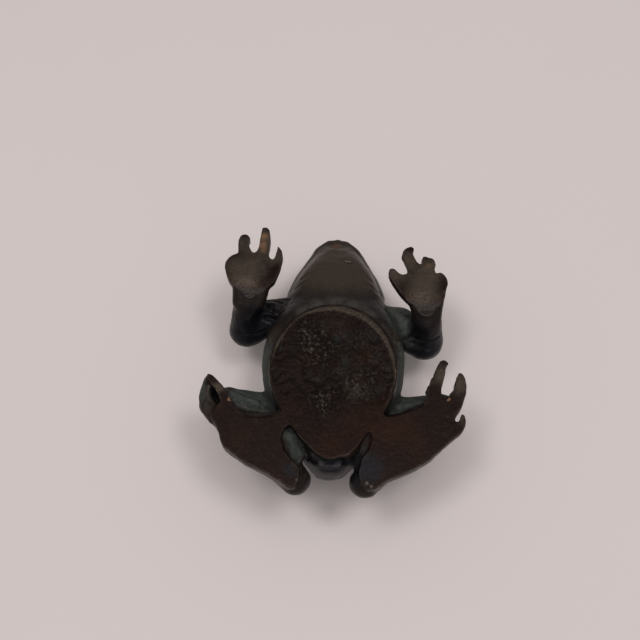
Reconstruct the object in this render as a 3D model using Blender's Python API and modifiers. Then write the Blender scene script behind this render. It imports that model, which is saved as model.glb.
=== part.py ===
"""A cast bronze frog, lying on its back with belly, palms and soles up.

The figure is one flowing form that is cast in sections: a hollow body closed by an
egg-shaped belly plate, arms cut at the shoulder and the elbow, legs cut at the hip and
under the sole. Dowels key the sections to each other.

+Z is up out of the belly, +Y points to the snout, and the frog's right side is at -X.
The figure rests on z = 0 with the origin at the bottom centre of its box.
"""

import math

import bmesh
import bpy
from mathutils import Matrix, Vector

MM = 0.001
UP = Vector((0, 0, 1))

# Overall sizes.
BODY_WIDTH = 48.4 * MM  # across the flanks
BODY_LENGTH = 88.0 * MM  # from rump to snout
STANDING_HEIGHT = 36.0 * MM  # from the back to the plane of belly, palms and soles
FAR = 4 * BODY_LENGTH  # beyond the figure in every direction

# The casting and its sections.
WALL = 2.4 * MM  # hollow body
LEDGE = 4.2 * MM  # width of the body's seat under the belly plate
LEDGE_THICKNESS = 2.6 * MM
PLATE_THICKNESS = 2.6 * MM
SOLE_THICKNESS = 6.6 * MM  # depth below the soles at which foot and shank part
SEAM_STAND_OFF = 1.2 * MM  # how far outside the trunk's own surface the limbs are joined on
EYE_ROOM = 1.2  # the same for the eyes, which no limb comes near
GAP = 0.3 * MM  # clearance at every seam and round every dowel

# Dowels.
DOWEL_RADIUS = 1.0 * MM
BELLY_DOWEL_RADIUS = 0.8 * MM
BODY_DOWEL_LENGTH = 9.0 * MM
ELBOW_DOWEL_LENGTH = 6.0 * MM
SOLE_DOWEL_LENGTH = 6.0 * MM
BELLY_DOWEL_LENGTH = 3.2 * MM
DOWEL_SIDES = 16

# Surface resolution of the castings.
GRAIN = 0.9 * MM
SMOOTHING = 4
FACE_SHARE = 0.11

# The points below are drawn for a frog of this body width, body length and height.
DRAWN = Vector((48.4, 88.0, 36.0))
STRETCH = Vector(
    (BODY_WIDTH / MM / DRAWN.x, BODY_LENGTH / MM / DRAWN.y, STANDING_HEIGHT / MM / DRAWN.z)
)
GIRTH = (STRETCH.x * STRETCH.y * STRETCH.z) ** (1 / 3)

# Trunk and head, from rump to snout: y, half width, height of the widest point,
# belly side, back side.
STATIONS = (
    (-34.4, 2.4, 26, 30.0, 22.0),
    (-32.8, 4.8, 26, 33.0, 16.5),
    (-29.6, 7.6, 25, 34.8, 11.0),
    (-25.0, 11.0, 24, 35.2, 6.0),
    (-18.0, 15.9, 23, 35.4, 1.8),
    (-8.0, 21.6, 22, 35.4, 0.0),
    (3.0, 23.9, 22, 35.4, -0.7),
    (11.0, 23.2, 22, 35.4, -0.6),
    (17.0, 21.0, 21, 35.0, 0.0),
    (22.0, 18.8, 20, 33.6, 1.0),
    (27.0, 17.2, 18.5, 32.0, 1.8),
    (32.0, 16.3, 17, 31.0, 2.4),
    (37.0, 14.3, 16.5, 29.6, 4.2),
    (42.0, 11.8, 16.5, 27.4, 6.8),
    (47.0, 8.9, 17, 24.6, 9.8),
    (51.0, 5.8, 17.5, 22.2, 12.6),
    (53.2, 2.8, 17.8, 20.2, 15.0),
)
BELLY_SQUARENESS = 3.2  # exponents of the trunk's cross-section, 2 being an ellipse
BACK_SQUARENESS = 2.3
RING_POINTS = 28

# The belly's outline is an egg with its blunt end to the front.
BELLY_WIDEST_Y = -2.0
BELLY_HALF_WIDTH = 20.1
BELLY_FRONT = 22.5
BELLY_REAR = 29.6
BELLY_REAR_TAPER = 0.45  # how much the egg narrows towards the rump
BELLY_FOOT_Z = 26.0  # height at which the belly's sides run out into the flanks
BELLY_FLARE = 1.5
EGG_POINTS = 64

# The limbs are webs: skins stretched round balls, each given as x, y, z and radius.
EYES = (
    ((9.6, 29.4, 8.6, 6.0), (10.6, 30.8, 5.2, 5.4)),
    ((-9.6, 29.4, 8.6, 6.0), (-10.6, 30.8, 5.2, 5.4)),
)
RIGHT_ARM = (
    ((-13.0, 21.0, 21.0, 7.5), (-22.0, 21.6, 21.5, 6.2)),
    ((-22.0, 21.6, 21.5, 6.2), (-30.4, 18.0, 18.5, 5.9)),
    ((-30.4, 18.0, 18.5, 5.9), (-29.2, 23.8, 29.0, 5.2)),
    ((-29.2, 23.8, 29.0, 5.2), (-28.6, 27.0, 32.0, 4.0)),
)
RIGHT_HAND = (
    ((-28.6, 26.4, 32.4, 4.0), (-33.8, 33.0, 33.4, 2.8), (-21.8, 33.8, 33.4, 2.8)),
    ((-33.6, 33.0, 33.4, 2.8), (-21.8, 33.8, 33.4, 2.8), (-28.4, 37.2, 33.5, 2.5)),
    ((-34.2, 34.4, 33.2, 3.5), (-31.4, 36.0, 33.4, 2.7)),
    ((-31.2, 37.0, 33.6, 2.5), (-31.7, 43.9, 33.7, 2.2)),
    ((-31.7, 43.9, 33.7, 2.2), (-30.5, 44.7, 33.8, 1.5)),
    ((-25.2, 36.6, 33.6, 2.5), (-25.1, 47.6, 33.8, 2.0)),
    ((-21.3, 34.4, 33.5, 2.7), (-19.9, 38.6, 33.9, 1.8)),
    ((-19.9, 38.6, 33.9, 1.8), (-20.4, 40.9, 34.1, 1.2)),
)
LEFT_ARM = (
    ((13.0, 20.0, 21.0, 7.6), (22.0, 20.0, 21.5, 6.6)),
    ((22.0, 20.0, 21.5, 6.6), (30.9, 16.0, 18.5, 6.3)),
    ((30.9, 16.0, 18.5, 6.3), (30.4, 19.6, 28.5, 5.2)),
    ((30.4, 19.6, 28.5, 5.2), (30.0, 22.6, 32.0, 4.0)),
)
LEFT_HAND = (
    ((30.0, 21.8, 32.4, 3.8), (23.8, 28.6, 33.4, 2.6), (33.4, 27.2, 33.4, 3.0)),
    ((23.8, 28.6, 33.4, 2.6), (33.4, 27.2, 33.4, 3.0), (29.4, 33.6, 33.5, 2.6)),
    ((23.6, 28.2, 33.5, 2.5), (19.0, 33.4, 33.8, 2.2)),
    ((26.2, 33.0, 33.5, 2.6), (24.6, 39.4, 33.7, 2.0)),
    ((24.6, 39.4, 33.7, 2.0), (24.0, 41.6, 33.8, 2.3)),
    ((30.6, 33.4, 33.5, 2.7), (30.2, 38.2, 33.8, 1.9), (31.9, 37.6, 33.8, 1.9)),
    ((34.0, 29.8, 33.3, 3.2), (34.6, 31.4, 33.4, 2.9)),
)
RIGHT_LEG = (
    ((-12.0, -14.0, 20.0, 8.4), (-20.0, -16.6, 20.0, 8.2), (-30.5, -12.4, 22.0, 7.8)),
    ((-30.5, -12.4, 22.0, 7.4), (-14.0, -33.0, 26.0, 5.0)),
    ((-21.0, -18.0, 24.0, 7.0), (-30.0, -16.0, 26.0, 6.0), (-17.6, -28.0, 27.0, 5.0)),
    ((-14.0, -33.0, 26.0, 5.0), (-10.6, -37.2, 30.6, 4.6)),
)
RIGHT_FOOT = (
    ((-18.4, -20.0, 33.0, 3.0), (-29.6, -21.6, 33.0, 3.0), (-31.4, -27.0, 33.0, 3.0)),
    ((-18.4, -20.0, 33.0, 3.0), (-31.4, -27.0, 33.0, 3.0), (-26.0, -31.0, 33.0, 3.0)),
    ((-18.4, -20.0, 33.0, 3.0), (-26.0, -31.0, 33.0, 3.0), (-13.0, -36.8, 33.0, 3.2)),
    ((-26.0, -31.0, 33.0, 3.0), (-13.0, -36.8, 33.0, 3.2), (-10.6, -37.6, 31.6, 4.8)),
    ((-18.4, -20.0, 33.0, 3.0), (-12.0, -17.0, 33.0, 3.0), (-29.6, -21.6, 33.0, 3.0)),
    ((-29.6, -21.6, 33.0, 3.0), (-35.4, -18.8, 33.0, 3.0), (-31.4, -27.0, 33.0, 3.0)),
    ((-35.4, -18.8, 33.0, 3.2), (-39.4, -13.6, 32.6, 3.2)),
    ((-39.4, -13.6, 32.6, 3.2), (-40.0, -8.8, 32.4, 2.4)),
    ((-40.0, -8.8, 32.4, 2.4), (-38.8, -6.4, 33.0, 2.0)),
    ((-32.4, -18.4, 33.0, 3.0), (-34.8, -11.6, 33.4, 2.4)),
    ((-34.8, -11.6, 33.4, 2.4), (-38.2, -6.8, 33.4, 2.1)),
    ((-36.0, -16.0, 31.2, 1.6), (-38.8, -8.6, 31.2, 1.4), (-34.6, -12.6, 31.2, 1.4)),
)
LEFT_LEG = (
    ((12.0, -14.0, 20.0, 8.4), (20.0, -16.6, 20.0, 8.2), (31.0, -11.4, 21.5, 7.7)),
    ((31.0, -11.4, 21.5, 7.4), (14.0, -33.0, 26.0, 5.0)),
    ((21.0, -18.0, 24.0, 7.0), (32.0, -14.0, 26.0, 6.0), (17.6, -28.0, 27.0, 5.0)),
    ((14.0, -33.0, 26.0, 5.0), (10.8, -37.2, 30.6, 4.6)),
)
LEFT_FOOT = (
    ((17.0, -19.6, 33.0, 3.0), (29.6, -14.4, 33.0, 3.0), (36.4, -19.4, 33.0, 3.1)),
    ((17.0, -19.6, 33.0, 3.0), (36.4, -19.4, 33.0, 3.1), (34.0, -24.3, 33.0, 3.1)),
    ((17.0, -19.6, 33.0, 3.0), (34.0, -24.3, 33.0, 3.1), (25.4, -31.4, 33.0, 3.2)),
    ((17.0, -19.6, 33.0, 3.0), (25.4, -31.4, 33.0, 3.2), (13.0, -36.8, 33.0, 3.2)),
    ((25.4, -31.4, 33.0, 3.2), (13.0, -36.8, 33.0, 3.2), (10.8, -37.8, 31.6, 4.9)),
    ((17.0, -19.6, 33.0, 3.0), (12.0, -17.0, 33.0, 3.0), (29.6, -14.4, 33.0, 3.0)),
    ((13.0, -36.8, 33.0, 3.2), (13.6, -28.8, 33.0, 3.0), (17.0, -19.6, 33.0, 3.0)),
    ((31.0, -13.2, 33.2, 2.8), (36.2, -13.0, 33.2, 2.6), (36.4, -18.4, 33.0, 3.0)),
    ((31.0, -13.2, 33.2, 2.8), (33.0, -7.0, 33.7, 2.1)),
    ((33.0, -7.0, 33.7, 2.1), (35.0, 0.6, 33.9, 1.9)),
    ((35.0, 0.6, 33.9, 1.9), (36.0, 1.2, 34.0, 1.5)),
    ((36.4, -16.4, 33.2, 2.8), (39.8, -9.6, 33.6, 2.4)),
    ((39.8, -9.6, 33.6, 2.4), (40.6, -4.7, 33.8, 2.1)),
    ((40.6, -4.7, 33.8, 2.1), (40.4, -3.7, 33.9, 1.8)),
    ((34.8, -21.8, 33.1, 3.0), (39.6, -18.6, 33.4, 2.7)),
    ((39.6, -18.6, 33.4, 2.7), (40.4, -16.4, 33.7, 1.7)),
)
SIDES = {
    "right": (RIGHT_ARM, RIGHT_HAND, RIGHT_LEG, RIGHT_FOOT),
    "left": (LEFT_ARM, LEFT_HAND, LEFT_LEG, LEFT_FOOT),
}
ARM_AND_LEG_Y = 5.4  # arms are in front of this, legs behind it

# Where the dowels cross the seams, and along what line. These are for the right side,
# and the left side mirrors them. The elbow's dowel goes through the elbow's own ball.
SHOULDER_DOWEL = ((-21.0, 21.4, 21.2), (-1.0, 0.1, 0.0))
HIP_DOWEL = ((-20.6, -14.0, 20.6), (-0.93, -0.36, 0.0))
HEEL_DOWEL_XY = (-15.0, -31.0)
ELBOW_NORMAL = (-0.81, 0.21, 0.55)
BELLY_DOWEL_INSET = 2.1  # from the belly's edge

BRONZE = {
    "belly brown": (0.13, 0.075, 0.05),
    "verdigris": (0.12, 0.15, 0.13),
    "dark bronze": (0.055, 0.055, 0.06),
    "dowel brass": (0.45, 0.33, 0.16),
}


def at(x, y, z):
    """A drawn point, in metres, on a frog of the sizes above."""
    return Vector((x * STRETCH.x, y * STRETCH.y, z * STRETCH.z)) * MM


def new_object(name, mesh, collection):
    piece = bpy.data.objects.new(name, mesh)
    collection.objects.link(piece)
    return piece


def object_from(bm, name, collection):
    bmesh.ops.recalc_face_normals(bm, faces=bm.faces)
    mesh = bpy.data.meshes.new(name)
    bm.to_mesh(mesh)
    bm.free()
    return new_object(name, mesh, collection)


def bronze(name, roughness):
    material = bpy.data.materials.new(name)
    material.use_nodes = True
    shader = material.node_tree.nodes["Principled BSDF"]
    shader.inputs["Base Color"].default_value = (*BRONZE[name], 1)
    shader.inputs["Roughness"].default_value = roughness
    shader.inputs["Metallic"].default_value = 0.6
    return material


def add_web(bm, balls):
    """The convex skin round the balls, as a closed shape of its own."""
    skin = bmesh.new()
    for x, y, z, radius in balls:
        bmesh.ops.create_icosphere(
            skin, subdivisions=2, radius=radius * GIRTH * MM, matrix=Matrix.Translation(at(x, y, z))
        )
    hull = bmesh.ops.convex_hull(skin, input=skin.verts)
    inner = [v for v in hull["geom_interior"] if isinstance(v, bmesh.types.BMVert)]
    bmesh.ops.delete(skin, geom=inner, context="VERTS")
    join(bm, skin)


def join(bm, other):
    """Adds a finished shape to bm."""
    bmesh.ops.recalc_face_normals(other, faces=other.faces)
    mesh = bpy.data.meshes.new("shape")
    other.to_mesh(mesh)
    other.free()
    bm.from_mesh(mesh)
    bpy.data.meshes.remove(mesh)


def ring(bm, station, grow):
    """One cross-section of the trunk, larger by grow all round."""
    y, half_width, widest_z, belly_z, back_z = station
    first, last = STATIONS[0][0], STATIONS[-1][0]
    from_middle = (2 * y - first - last) / (last - first)
    centre = at(0, y, widest_z) + Vector((0, from_middle * grow, 0))
    for vert in bmesh.ops.create_circle(bm, segments=RING_POINTS, radius=1.0)["verts"]:
        side, height = vert.co.x, vert.co.y
        up = height > 0
        power = 2 / (BELLY_SQUARENESS if up else BACK_SQUARENESS)
        reach = abs((belly_z if up else back_z) - widest_z) * STRETCH.z * MM + grow
        width = half_width * STRETCH.x * MM + grow
        across = math.copysign(abs(side) ** power, side) * width
        rise = math.copysign(abs(height) ** power, height) * reach
        vert.co = centre + Vector((across, 0, rise))


def add_trunk(bm, grow=0.0):
    """Trunk and head as a skin over the stations, grown, or shrunk to the hollow inside."""
    trunk = bmesh.new()
    for station in STATIONS:
        slimmest = min(station[1] * STRETCH.x, (station[3] - station[2]) * STRETCH.z) * MM
        if slimmest + grow > MM:
            ring(trunk, station, grow)
    bmesh.ops.bridge_loops(trunk, edges=trunk.edges[:])
    bmesh.ops.holes_fill(trunk, edges=[e for e in trunk.edges if e.is_boundary])
    join(bm, trunk)


def egg(grow):
    """Points round the belly's outline, which is wider and longer by grow all round."""
    half_width = BELLY_HALF_WIDTH * STRETCH.x * MM + grow
    points = []
    for step in range(EGG_POINTS):
        turn = math.tau * step / EGG_POINTS
        across, along = math.cos(turn), math.sin(turn)
        reach = (BELLY_FRONT if along > 0 else BELLY_REAR) * STRETCH.y * MM + grow
        taper = 1.0 if along > 0 else 1 - BELLY_REAR_TAPER * along**2
        y = along * reach + BELLY_WIDEST_Y * STRETCH.y * MM
        points.append(Vector((across * half_width * taper, y, 0)))
    return points


def add_egg_block(bm, low, high, grow, flare=0.0):
    """An egg-shaped block between two heights, wider by flare at its foot."""
    block = bmesh.new()
    for z, spread in ((low, grow + flare), (high, grow)):
        rim = bmesh.ops.create_circle(block, segments=EGG_POINTS, radius=1.0)["verts"]
        for vert, point in zip(rim, egg(spread)):
            vert.co = point + Vector((0, 0, z))
    bmesh.ops.bridge_loops(block, edges=block.edges[:])
    bmesh.ops.holes_fill(block, edges=[e for e in block.edges if e.is_boundary])
    join(bm, block)


def frog_form(collection):
    """The whole figure as one flowing surface, before it is cut into sections."""
    bm = bmesh.new()
    add_trunk(bm)
    add_egg_block(bm, BELLY_FOOT_Z * STRETCH.z * MM, STANDING_HEIGHT + GRAIN, 0.0, BELLY_FLARE * MM)
    for limbs in SIDES.values():
        for limb in limbs:
            for web in limb:
                add_web(bm, web)
    for eye in EYES:
        add_web(bm, eye)
    form = object_from(bm, "frog_form", collection)
    merge = form.modifiers.new("merge", "REMESH")
    merge.mode = "VOXEL"
    merge.voxel_size = GRAIN
    keep_outer_skin(baked(form).data)
    relax = form.modifiers.new("relax", "SMOOTH")
    relax.factor = 0.5
    relax.iterations = SMOOTHING
    thin = form.modifiers.new("thin", "DECIMATE")
    thin.ratio = FACE_SHARE
    return baked(form)


def keep_outer_skin(mesh):
    """Removes the closed voids that webs leave where they meet."""
    bm = bmesh.new()
    bm.from_mesh(mesh)
    highest = max(bm.verts, key=lambda vert: vert.co.y)
    skin, edge_of_skin = {highest}, [highest]
    while edge_of_skin:
        for edge in edge_of_skin.pop().link_edges:
            for vert in edge.verts:
                if vert not in skin:
                    skin.add(vert)
                    edge_of_skin.append(vert)
    bmesh.ops.delete(bm, geom=[v for v in bm.verts if v not in skin], context="VERTS")
    bm.to_mesh(mesh)
    bm.free()


def baked(piece):
    """Gives the object its evaluated mesh and drops the modifiers."""
    graph = bpy.context.evaluated_depsgraph_get()
    mesh = bpy.data.meshes.new_from_object(piece.evaluated_get(graph))
    piece.modifiers.clear()
    piece.data = mesh
    return piece


def box_between(low, high, name, collection):
    bm = bmesh.new()
    bmesh.ops.create_cube(bm, size=1.0)
    bmesh.ops.scale(bm, vec=high - low, verts=bm.verts)
    bmesh.ops.translate(bm, vec=(low + high) / 2, verts=bm.verts)
    return object_from(bm, name, collection)


def half_space(name, point, normal, shift, collection):
    """A large block beyond the plane through point, moved out along its normal by shift."""
    bm = bmesh.new()
    bmesh.ops.create_cube(bm, size=FAR, matrix=Matrix.Translation((0, 0, FAR / 2)))
    place = Matrix.Translation(point + normal * shift) @ turned_to(normal)
    bmesh.ops.transform(bm, matrix=place, verts=bm.verts)
    return object_from(bm, name, collection)


def egg_block(name, low, high, grow, collection):
    bm = bmesh.new()
    add_egg_block(bm, low, high, grow)
    return object_from(bm, name, collection)


def turned_to(axis):
    return axis.to_track_quat("Z", "Y").to_matrix().to_4x4()


def rod(name, centre, axis, length, radius, collection):
    bm = bmesh.new()
    bmesh.ops.create_cone(
        bm, cap_ends=True, segments=DOWEL_SIDES, radius1=radius, radius2=radius, depth=length,
        matrix=Matrix.Translation(centre) @ turned_to(axis),
    )
    return object_from(bm, name, collection)


def cut(piece, operation, other):
    step = piece.modifiers.new(operation.lower(), "BOOLEAN")
    step.operation = operation
    step.solver = "EXACT"
    step.object = other
    return piece


class Frog:
    """Cuts the form into its sections and keys them with dowels."""

    def __init__(self):
        self.parts = bpy.data.collections.new("bronze_frog")
        self.cutters = bpy.data.collections.new("cutters")
        for collection in (self.parts, self.cutters):
            bpy.context.scene.collection.children.link(collection)
        self.seat = STANDING_HEIGHT - PLATE_THICKNESS - GAP
        self.form = frog_form(self.cutters)
        # Belly, palms and soles are ground flat, and so is the back where it would rock.
        low, high = Vector((-FAR, -FAR, 0)), Vector((FAR, FAR, STANDING_HEIGHT))
        baked(cut(self.form, "INTERSECT", box_between(low, high, "ground_slab", self.cutters)))
        self.around_body = self.envelope("around_body", SEAM_STAND_OFF + GAP / 2)

    def envelope(self, name, grow):
        """The body grown by a distance: limbs are what of the form lies outside it."""
        whole = bmesh.new()
        add_trunk(whole, grow)
        body = object_from(whole, name, self.cutters)
        foot, top = self.seat - 3 * SEAM_STAND_OFF, 2 * STANDING_HEIGHT
        cut(body, "UNION", egg_block(f"{name}_belly", foot, top, grow, self.cutters))
        for number, eye in enumerate(EYES):
            grown = bmesh.new()
            add_web(grown, [(x, y, z, radius + EYE_ROOM) for x, y, z, radius in eye])
            cut(body, "UNION", object_from(grown, f"{name}_eye_{number}", self.cutters))
        return baked(body)

    def copy(self, name):
        return new_object(name, self.form.data.copy(), self.parts)

    def quarter(self, side, front):
        """The quarter of space that holds one arm or one leg."""
        split = ARM_AND_LEG_Y * STRETCH.y * MM
        left, right = (-FAR, 0) if side == "right" else (0, FAR)
        rear, fore = (split, FAR) if front else (-FAR, split)
        name = f"{side}_{'arm' if front else 'leg'}_space"
        low, high = Vector((left, rear, -FAR)), Vector((right, fore, FAR))
        return box_between(low, high, name, self.cutters)

    def split_limb(self, side, front, names, point, normal):
        """An inner and an outer section of one limb, parted at a plane."""
        quarter = self.quarter(side, front)
        sections = []
        for name, operation, shift in zip(names, ("DIFFERENCE", "INTERSECT"), (-GAP / 2, GAP / 2)):
            section = self.copy(name)
            beyond = half_space(f"beyond_{name}", point, normal, shift, self.cutters)
            cut(section, operation, beyond)
            cut(section, "INTERSECT", quarter)
            cut(section, "DIFFERENCE", self.around_body)
            sections.append(section)
        return sections

    def make_body(self):
        """The hollow shell with its ledge, and the plate that lies on the ledge."""
        shell = self.copy("back_shell")
        top = 2 * STANDING_HEIGHT
        cut(shell, "INTERSECT", self.envelope("body_space", SEAM_STAND_OFF - GAP / 2))
        cut(shell, "DIFFERENCE", egg_block("plate_pocket", self.seat, top, GAP, self.cutters))
        cut(shell, "DIFFERENCE", egg_block("body_mouth", STANDING_HEIGHT / 2, top, -LEDGE, self.cutters))
        inside = bmesh.new()
        add_trunk(inside, -WALL)
        hollow = object_from(inside, "hollow", self.cutters)
        under_ledge = Vector((0, 0, self.seat - LEDGE_THICKNESS))
        cut(hollow, "DIFFERENCE", half_space("ledge", under_ledge, UP, 0, self.cutters))
        cut(shell, "DIFFERENCE", hollow)
        foot = STANDING_HEIGHT - PLATE_THICKNESS
        return shell, egg_block("belly_plate", foot, STANDING_HEIGHT, 0.0, self.parts)

    def key(self, name, centre, axis, length, radius, pieces):
        """A dowel, and its hole in each of the pieces that it joins."""
        hole = rod(f"{name}_hole", centre, axis, length + 2 * GAP, radius + GAP, self.cutters)
        for piece in pieces:
            cut(piece, "DIFFERENCE", hole)
        return rod(name, centre, axis, length, radius, self.parts)

    def build(self):
        shell, plate = self.make_body()
        sections = {"shell": shell, "plate": plate}
        dowels = []
        for side, (arm, _, _, _) in SIDES.items():
            mirror = Vector((1 if side == "right" else -1, 1, 1))
            elbow = at(*arm[1][1][:3])
            elbow_normal = (Vector(ELBOW_NORMAL) * mirror).normalized()
            parting = Vector((0, 0, STANDING_HEIGHT - SOLE_THICKNESS))
            upper, fore = self.split_limb(
                side, True, (f"{side}_upper_arm", f"{side}_forearm"), elbow, elbow_normal
            )
            thigh, foot = self.split_limb(
                side, False, (f"{side}_thigh", f"{side}_foot"), parting, UP
            )
            sections.update({piece.name: piece for piece in (upper, fore, thigh, foot)})
            for joint, (place, line), piece in (
                ("shoulder", SHOULDER_DOWEL, upper), ("hip", HIP_DOWEL, thigh)
            ):
                centre, axis = at(*place) * mirror, (Vector(line) * mirror).normalized()
                name = f"{side}_{joint}_dowel"
                dowels.append(
                    self.key(name, centre, axis, BODY_DOWEL_LENGTH, DOWEL_RADIUS, (shell, piece))
                )
            dowels.append(self.key(f"{side}_elbow_dowel", elbow, elbow_normal,
                                   ELBOW_DOWEL_LENGTH, DOWEL_RADIUS, (upper, fore)))
            heel = at(*HEEL_DOWEL_XY, 0) * mirror + parting
            dowels.append(self.key(f"{side}_heel_dowel", heel, UP,
                                   SOLE_DOWEL_LENGTH, DOWEL_RADIUS, (thigh, foot)))
        dowels += self.key_plate(shell, plate)
        self.finish(sections, dowels)

    def key_plate(self, shell, plate):
        """Four blind dowels between the plate and the ledge, halfway across the ledge."""
        rim = egg(-BELLY_DOWEL_INSET * MM)
        quarter = EGG_POINTS // 4
        dowels = []
        for number, where in enumerate(("left", "front", "right", "rear")):
            centre = rim[number * quarter] + Vector((0, 0, self.seat + GAP / 2))
            dowels.append(self.key(f"belly_dowel_{where}", centre, UP,
                                   BELLY_DOWEL_LENGTH, BELLY_DOWEL_RADIUS, (shell, plate)))
        return dowels

    def finish(self, sections, dowels):
        """Applies the cuts, sets the materials, and centres the figure on its box."""
        finishes = {
            "shell": bronze("verdigris", 0.6),
            "plate": bronze("belly brown", 0.5),
            "limb": bronze("dark bronze", 0.5),
            "dowel": bronze("dowel brass", 0.35),
        }
        for kind, piece in sections.items():
            baked(piece)
            piece.data.materials.clear()
            piece.data.materials.append(finishes.get(kind, finishes["limb"]))
        for dowel in dowels:
            dowel.data.materials.append(finishes["dowel"])
        pieces = [*sections.values(), *dowels]
        corners = [vert.co for piece in pieces for vert in piece.data.vertices]
        middle = Vector((0, 0, 0))
        for axis in (0, 1):
            reach = [corner[axis] for corner in corners]
            middle[axis] = (min(reach) + max(reach)) / 2
        for piece in pieces:
            piece.data.transform(Matrix.Translation(-middle))
            piece.data.shade_smooth()
            piece.data.set_sharp_from_angle(angle=math.radians(35))
        for cutter in self.cutters.objects:
            cutter.hide_render = True
            cutter.display_type = "WIRE"


for leftover in list(bpy.data.objects):
    bpy.data.objects.remove(leftover)
Frog().build()
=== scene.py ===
"""A cast bronze frog lying on its back, in fine detail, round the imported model.

The figure is built as one flowing form in the drawn frame (millimetres, the middle of
the belly's widest line near the origin), worked over like a wax with ridges, grooves and
hollows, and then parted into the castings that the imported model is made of.
"""
import math

import bmesh
import bpy
import numpy as np
from mathutils import Matrix, Vector, noise
from mathutils.bvhtree import BVHTree


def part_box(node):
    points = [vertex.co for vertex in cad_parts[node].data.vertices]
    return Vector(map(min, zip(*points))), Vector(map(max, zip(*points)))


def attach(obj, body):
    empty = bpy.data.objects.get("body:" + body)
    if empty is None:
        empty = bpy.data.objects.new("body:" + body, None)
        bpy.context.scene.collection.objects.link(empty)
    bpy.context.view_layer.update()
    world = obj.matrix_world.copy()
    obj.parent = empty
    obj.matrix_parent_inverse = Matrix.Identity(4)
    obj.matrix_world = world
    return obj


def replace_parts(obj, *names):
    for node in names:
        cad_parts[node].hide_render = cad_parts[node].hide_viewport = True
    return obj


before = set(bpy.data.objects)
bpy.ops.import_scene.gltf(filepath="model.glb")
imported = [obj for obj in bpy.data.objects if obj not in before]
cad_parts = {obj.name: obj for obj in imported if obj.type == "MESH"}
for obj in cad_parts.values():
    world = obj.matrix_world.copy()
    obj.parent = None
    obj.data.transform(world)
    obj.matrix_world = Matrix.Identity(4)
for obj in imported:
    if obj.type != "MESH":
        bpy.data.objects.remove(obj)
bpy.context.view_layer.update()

MM = 0.001
PLATE_LOW, PLATE_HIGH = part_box("belly_plate")
HEIGHT = PLATE_HIGH[2] / MM
PLATE_FOOT = PLATE_LOW[2] / MM
BELLY_FRONT_Y = 20.5  # where the front of the belly is drawn
MIDDLE = Vector(((PLATE_LOW[0] + PLATE_HIGH[0]) / 2, PLATE_HIGH[1] - BELLY_FRONT_Y * MM, 0))

GRAIN = 0.42  # size of the wax's facets
SOFT_ROUNDS, CRISP_ROUNDS = 14, 4  # rounds of smoothing for bodies, and for plates
SOLE_Z = 29.4  # height at which foot and shank part
ARM_AND_LEG_Y = 5.4  # arms are in front of this, legs behind it
SEAM_DROP = 0.15  # the belly's seam runs this far below the plate, in its clearance
STAND_RELIEF = 0.02  # play between the figure and the plane that it stands on
PALM_SPAN = (32.6, 36.2)  # underside and top of the palms' outlines
SOLE_SPAN = (31.2, 36.2)  # and of the soles'
HOLE_FLOOR = 31.0  # the holes are dug only above this height
WRIST_EDGE = {"right": 30.4, "left": 27.4}  # where each palm starts to fall to its wrist
WRIST_RUN, WRIST_FALL = 7.0, 1.5
FIELD_DISH = 0.3  # depth of the dished belly

# Trunk and head, from rump to snout: y, half width, height of the widest point,
# belly side, back side.
STATIONS = (
    (-34.4, 2.6, 25, 29.0, 20.5),
    (-32.8, 5.0, 25, 31.6, 15.5),
    (-29.6, 7.8, 25, 33.4, 10.6),
    (-25.0, 11.2, 24, 35.0, 6.0),
    (-18.0, 16.0, 23, 35.4, 1.8),
    (-8.0, 21.5, 22, 35.4, -0.2),
    (3.0, 23.7, 22, 35.4, -0.9),
    (11.0, 23.0, 22, 35.4, -0.8),
    (17.0, 21.0, 21, 35.0, -0.2),
    (22.0, 18.8, 20, 33.4, 0.8),
    (27.0, 17.2, 18.5, 31.4, 1.6),
    (32.0, 16.4, 17, 30.4, 2.2),
    (37.0, 14.5, 16.5, 29.2, 4.0),
    (42.0, 12.0, 16.5, 27.2, 6.6),
    (47.0, 9.1, 17, 24.6, 9.6),
    (51.0, 6.6, 17.5, 22.4, 12.4),
    (53.6, 3.4, 17.8, 20.4, 14.8),
)
BELLY_SQUARENESS, BACK_SQUARENESS = 3.2, 2.3
RING_POINTS = 40

# Egg of the belly: half width, reach to the front and to the rear, taper of the rear.
EGG = (20.2, 22.5, 29.6, 0.45)
EGG_WIDEST_Y = -2.0
EGG_POINTS = 96
# The block under it: height, and how far outside the egg it stands there.
BELLY_RINGS = ((26.0, 1.6), (32.0, 0.6), (HEIGHT + 0.5, 0.2))
RIM_WIDTH, RIM_GAIN = 1.0, 1.3  # the belly's rim, and how much wider it gets in front

# Webs: skins stretched round balls, each given as x, y, z and radius.
HEAD_WEBS = [
    [(side * 9.6, 29.2, 8.8, 6.4), (side * 10.6, 30.6, 5.6, 5.6)] for side in (-1, 1)
]
ARM_WEBS = [
    [(-13.0, 21.6, 21.0, 7.5), (-22.0, 22.0, 21.5, 6.2)],
    [(-22.0, 22.0, 21.5, 6.2), (-30.4, 18.0, 18.5, 6.0)],
    [(-30.4, 18.0, 18.5, 6.0), (-29.2, 23.4, 28.6, 5.2)],
    [(-29.2, 23.4, 28.6, 5.2), (-28.7, 27.0, 32.0, 4.4)],
    [(13.0, 20.0, 21.0, 7.6), (22.0, 20.0, 21.5, 6.6)],
    [(22.0, 20.0, 21.5, 6.6), (30.9, 16.0, 18.5, 6.5)],
    [(30.9, 16.0, 18.5, 6.5), (30.4, 19.6, 28.5, 5.3)],
    [(30.4, 19.6, 28.5, 5.3), (30.0, 22.6, 32.0, 4.2)],
]
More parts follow.
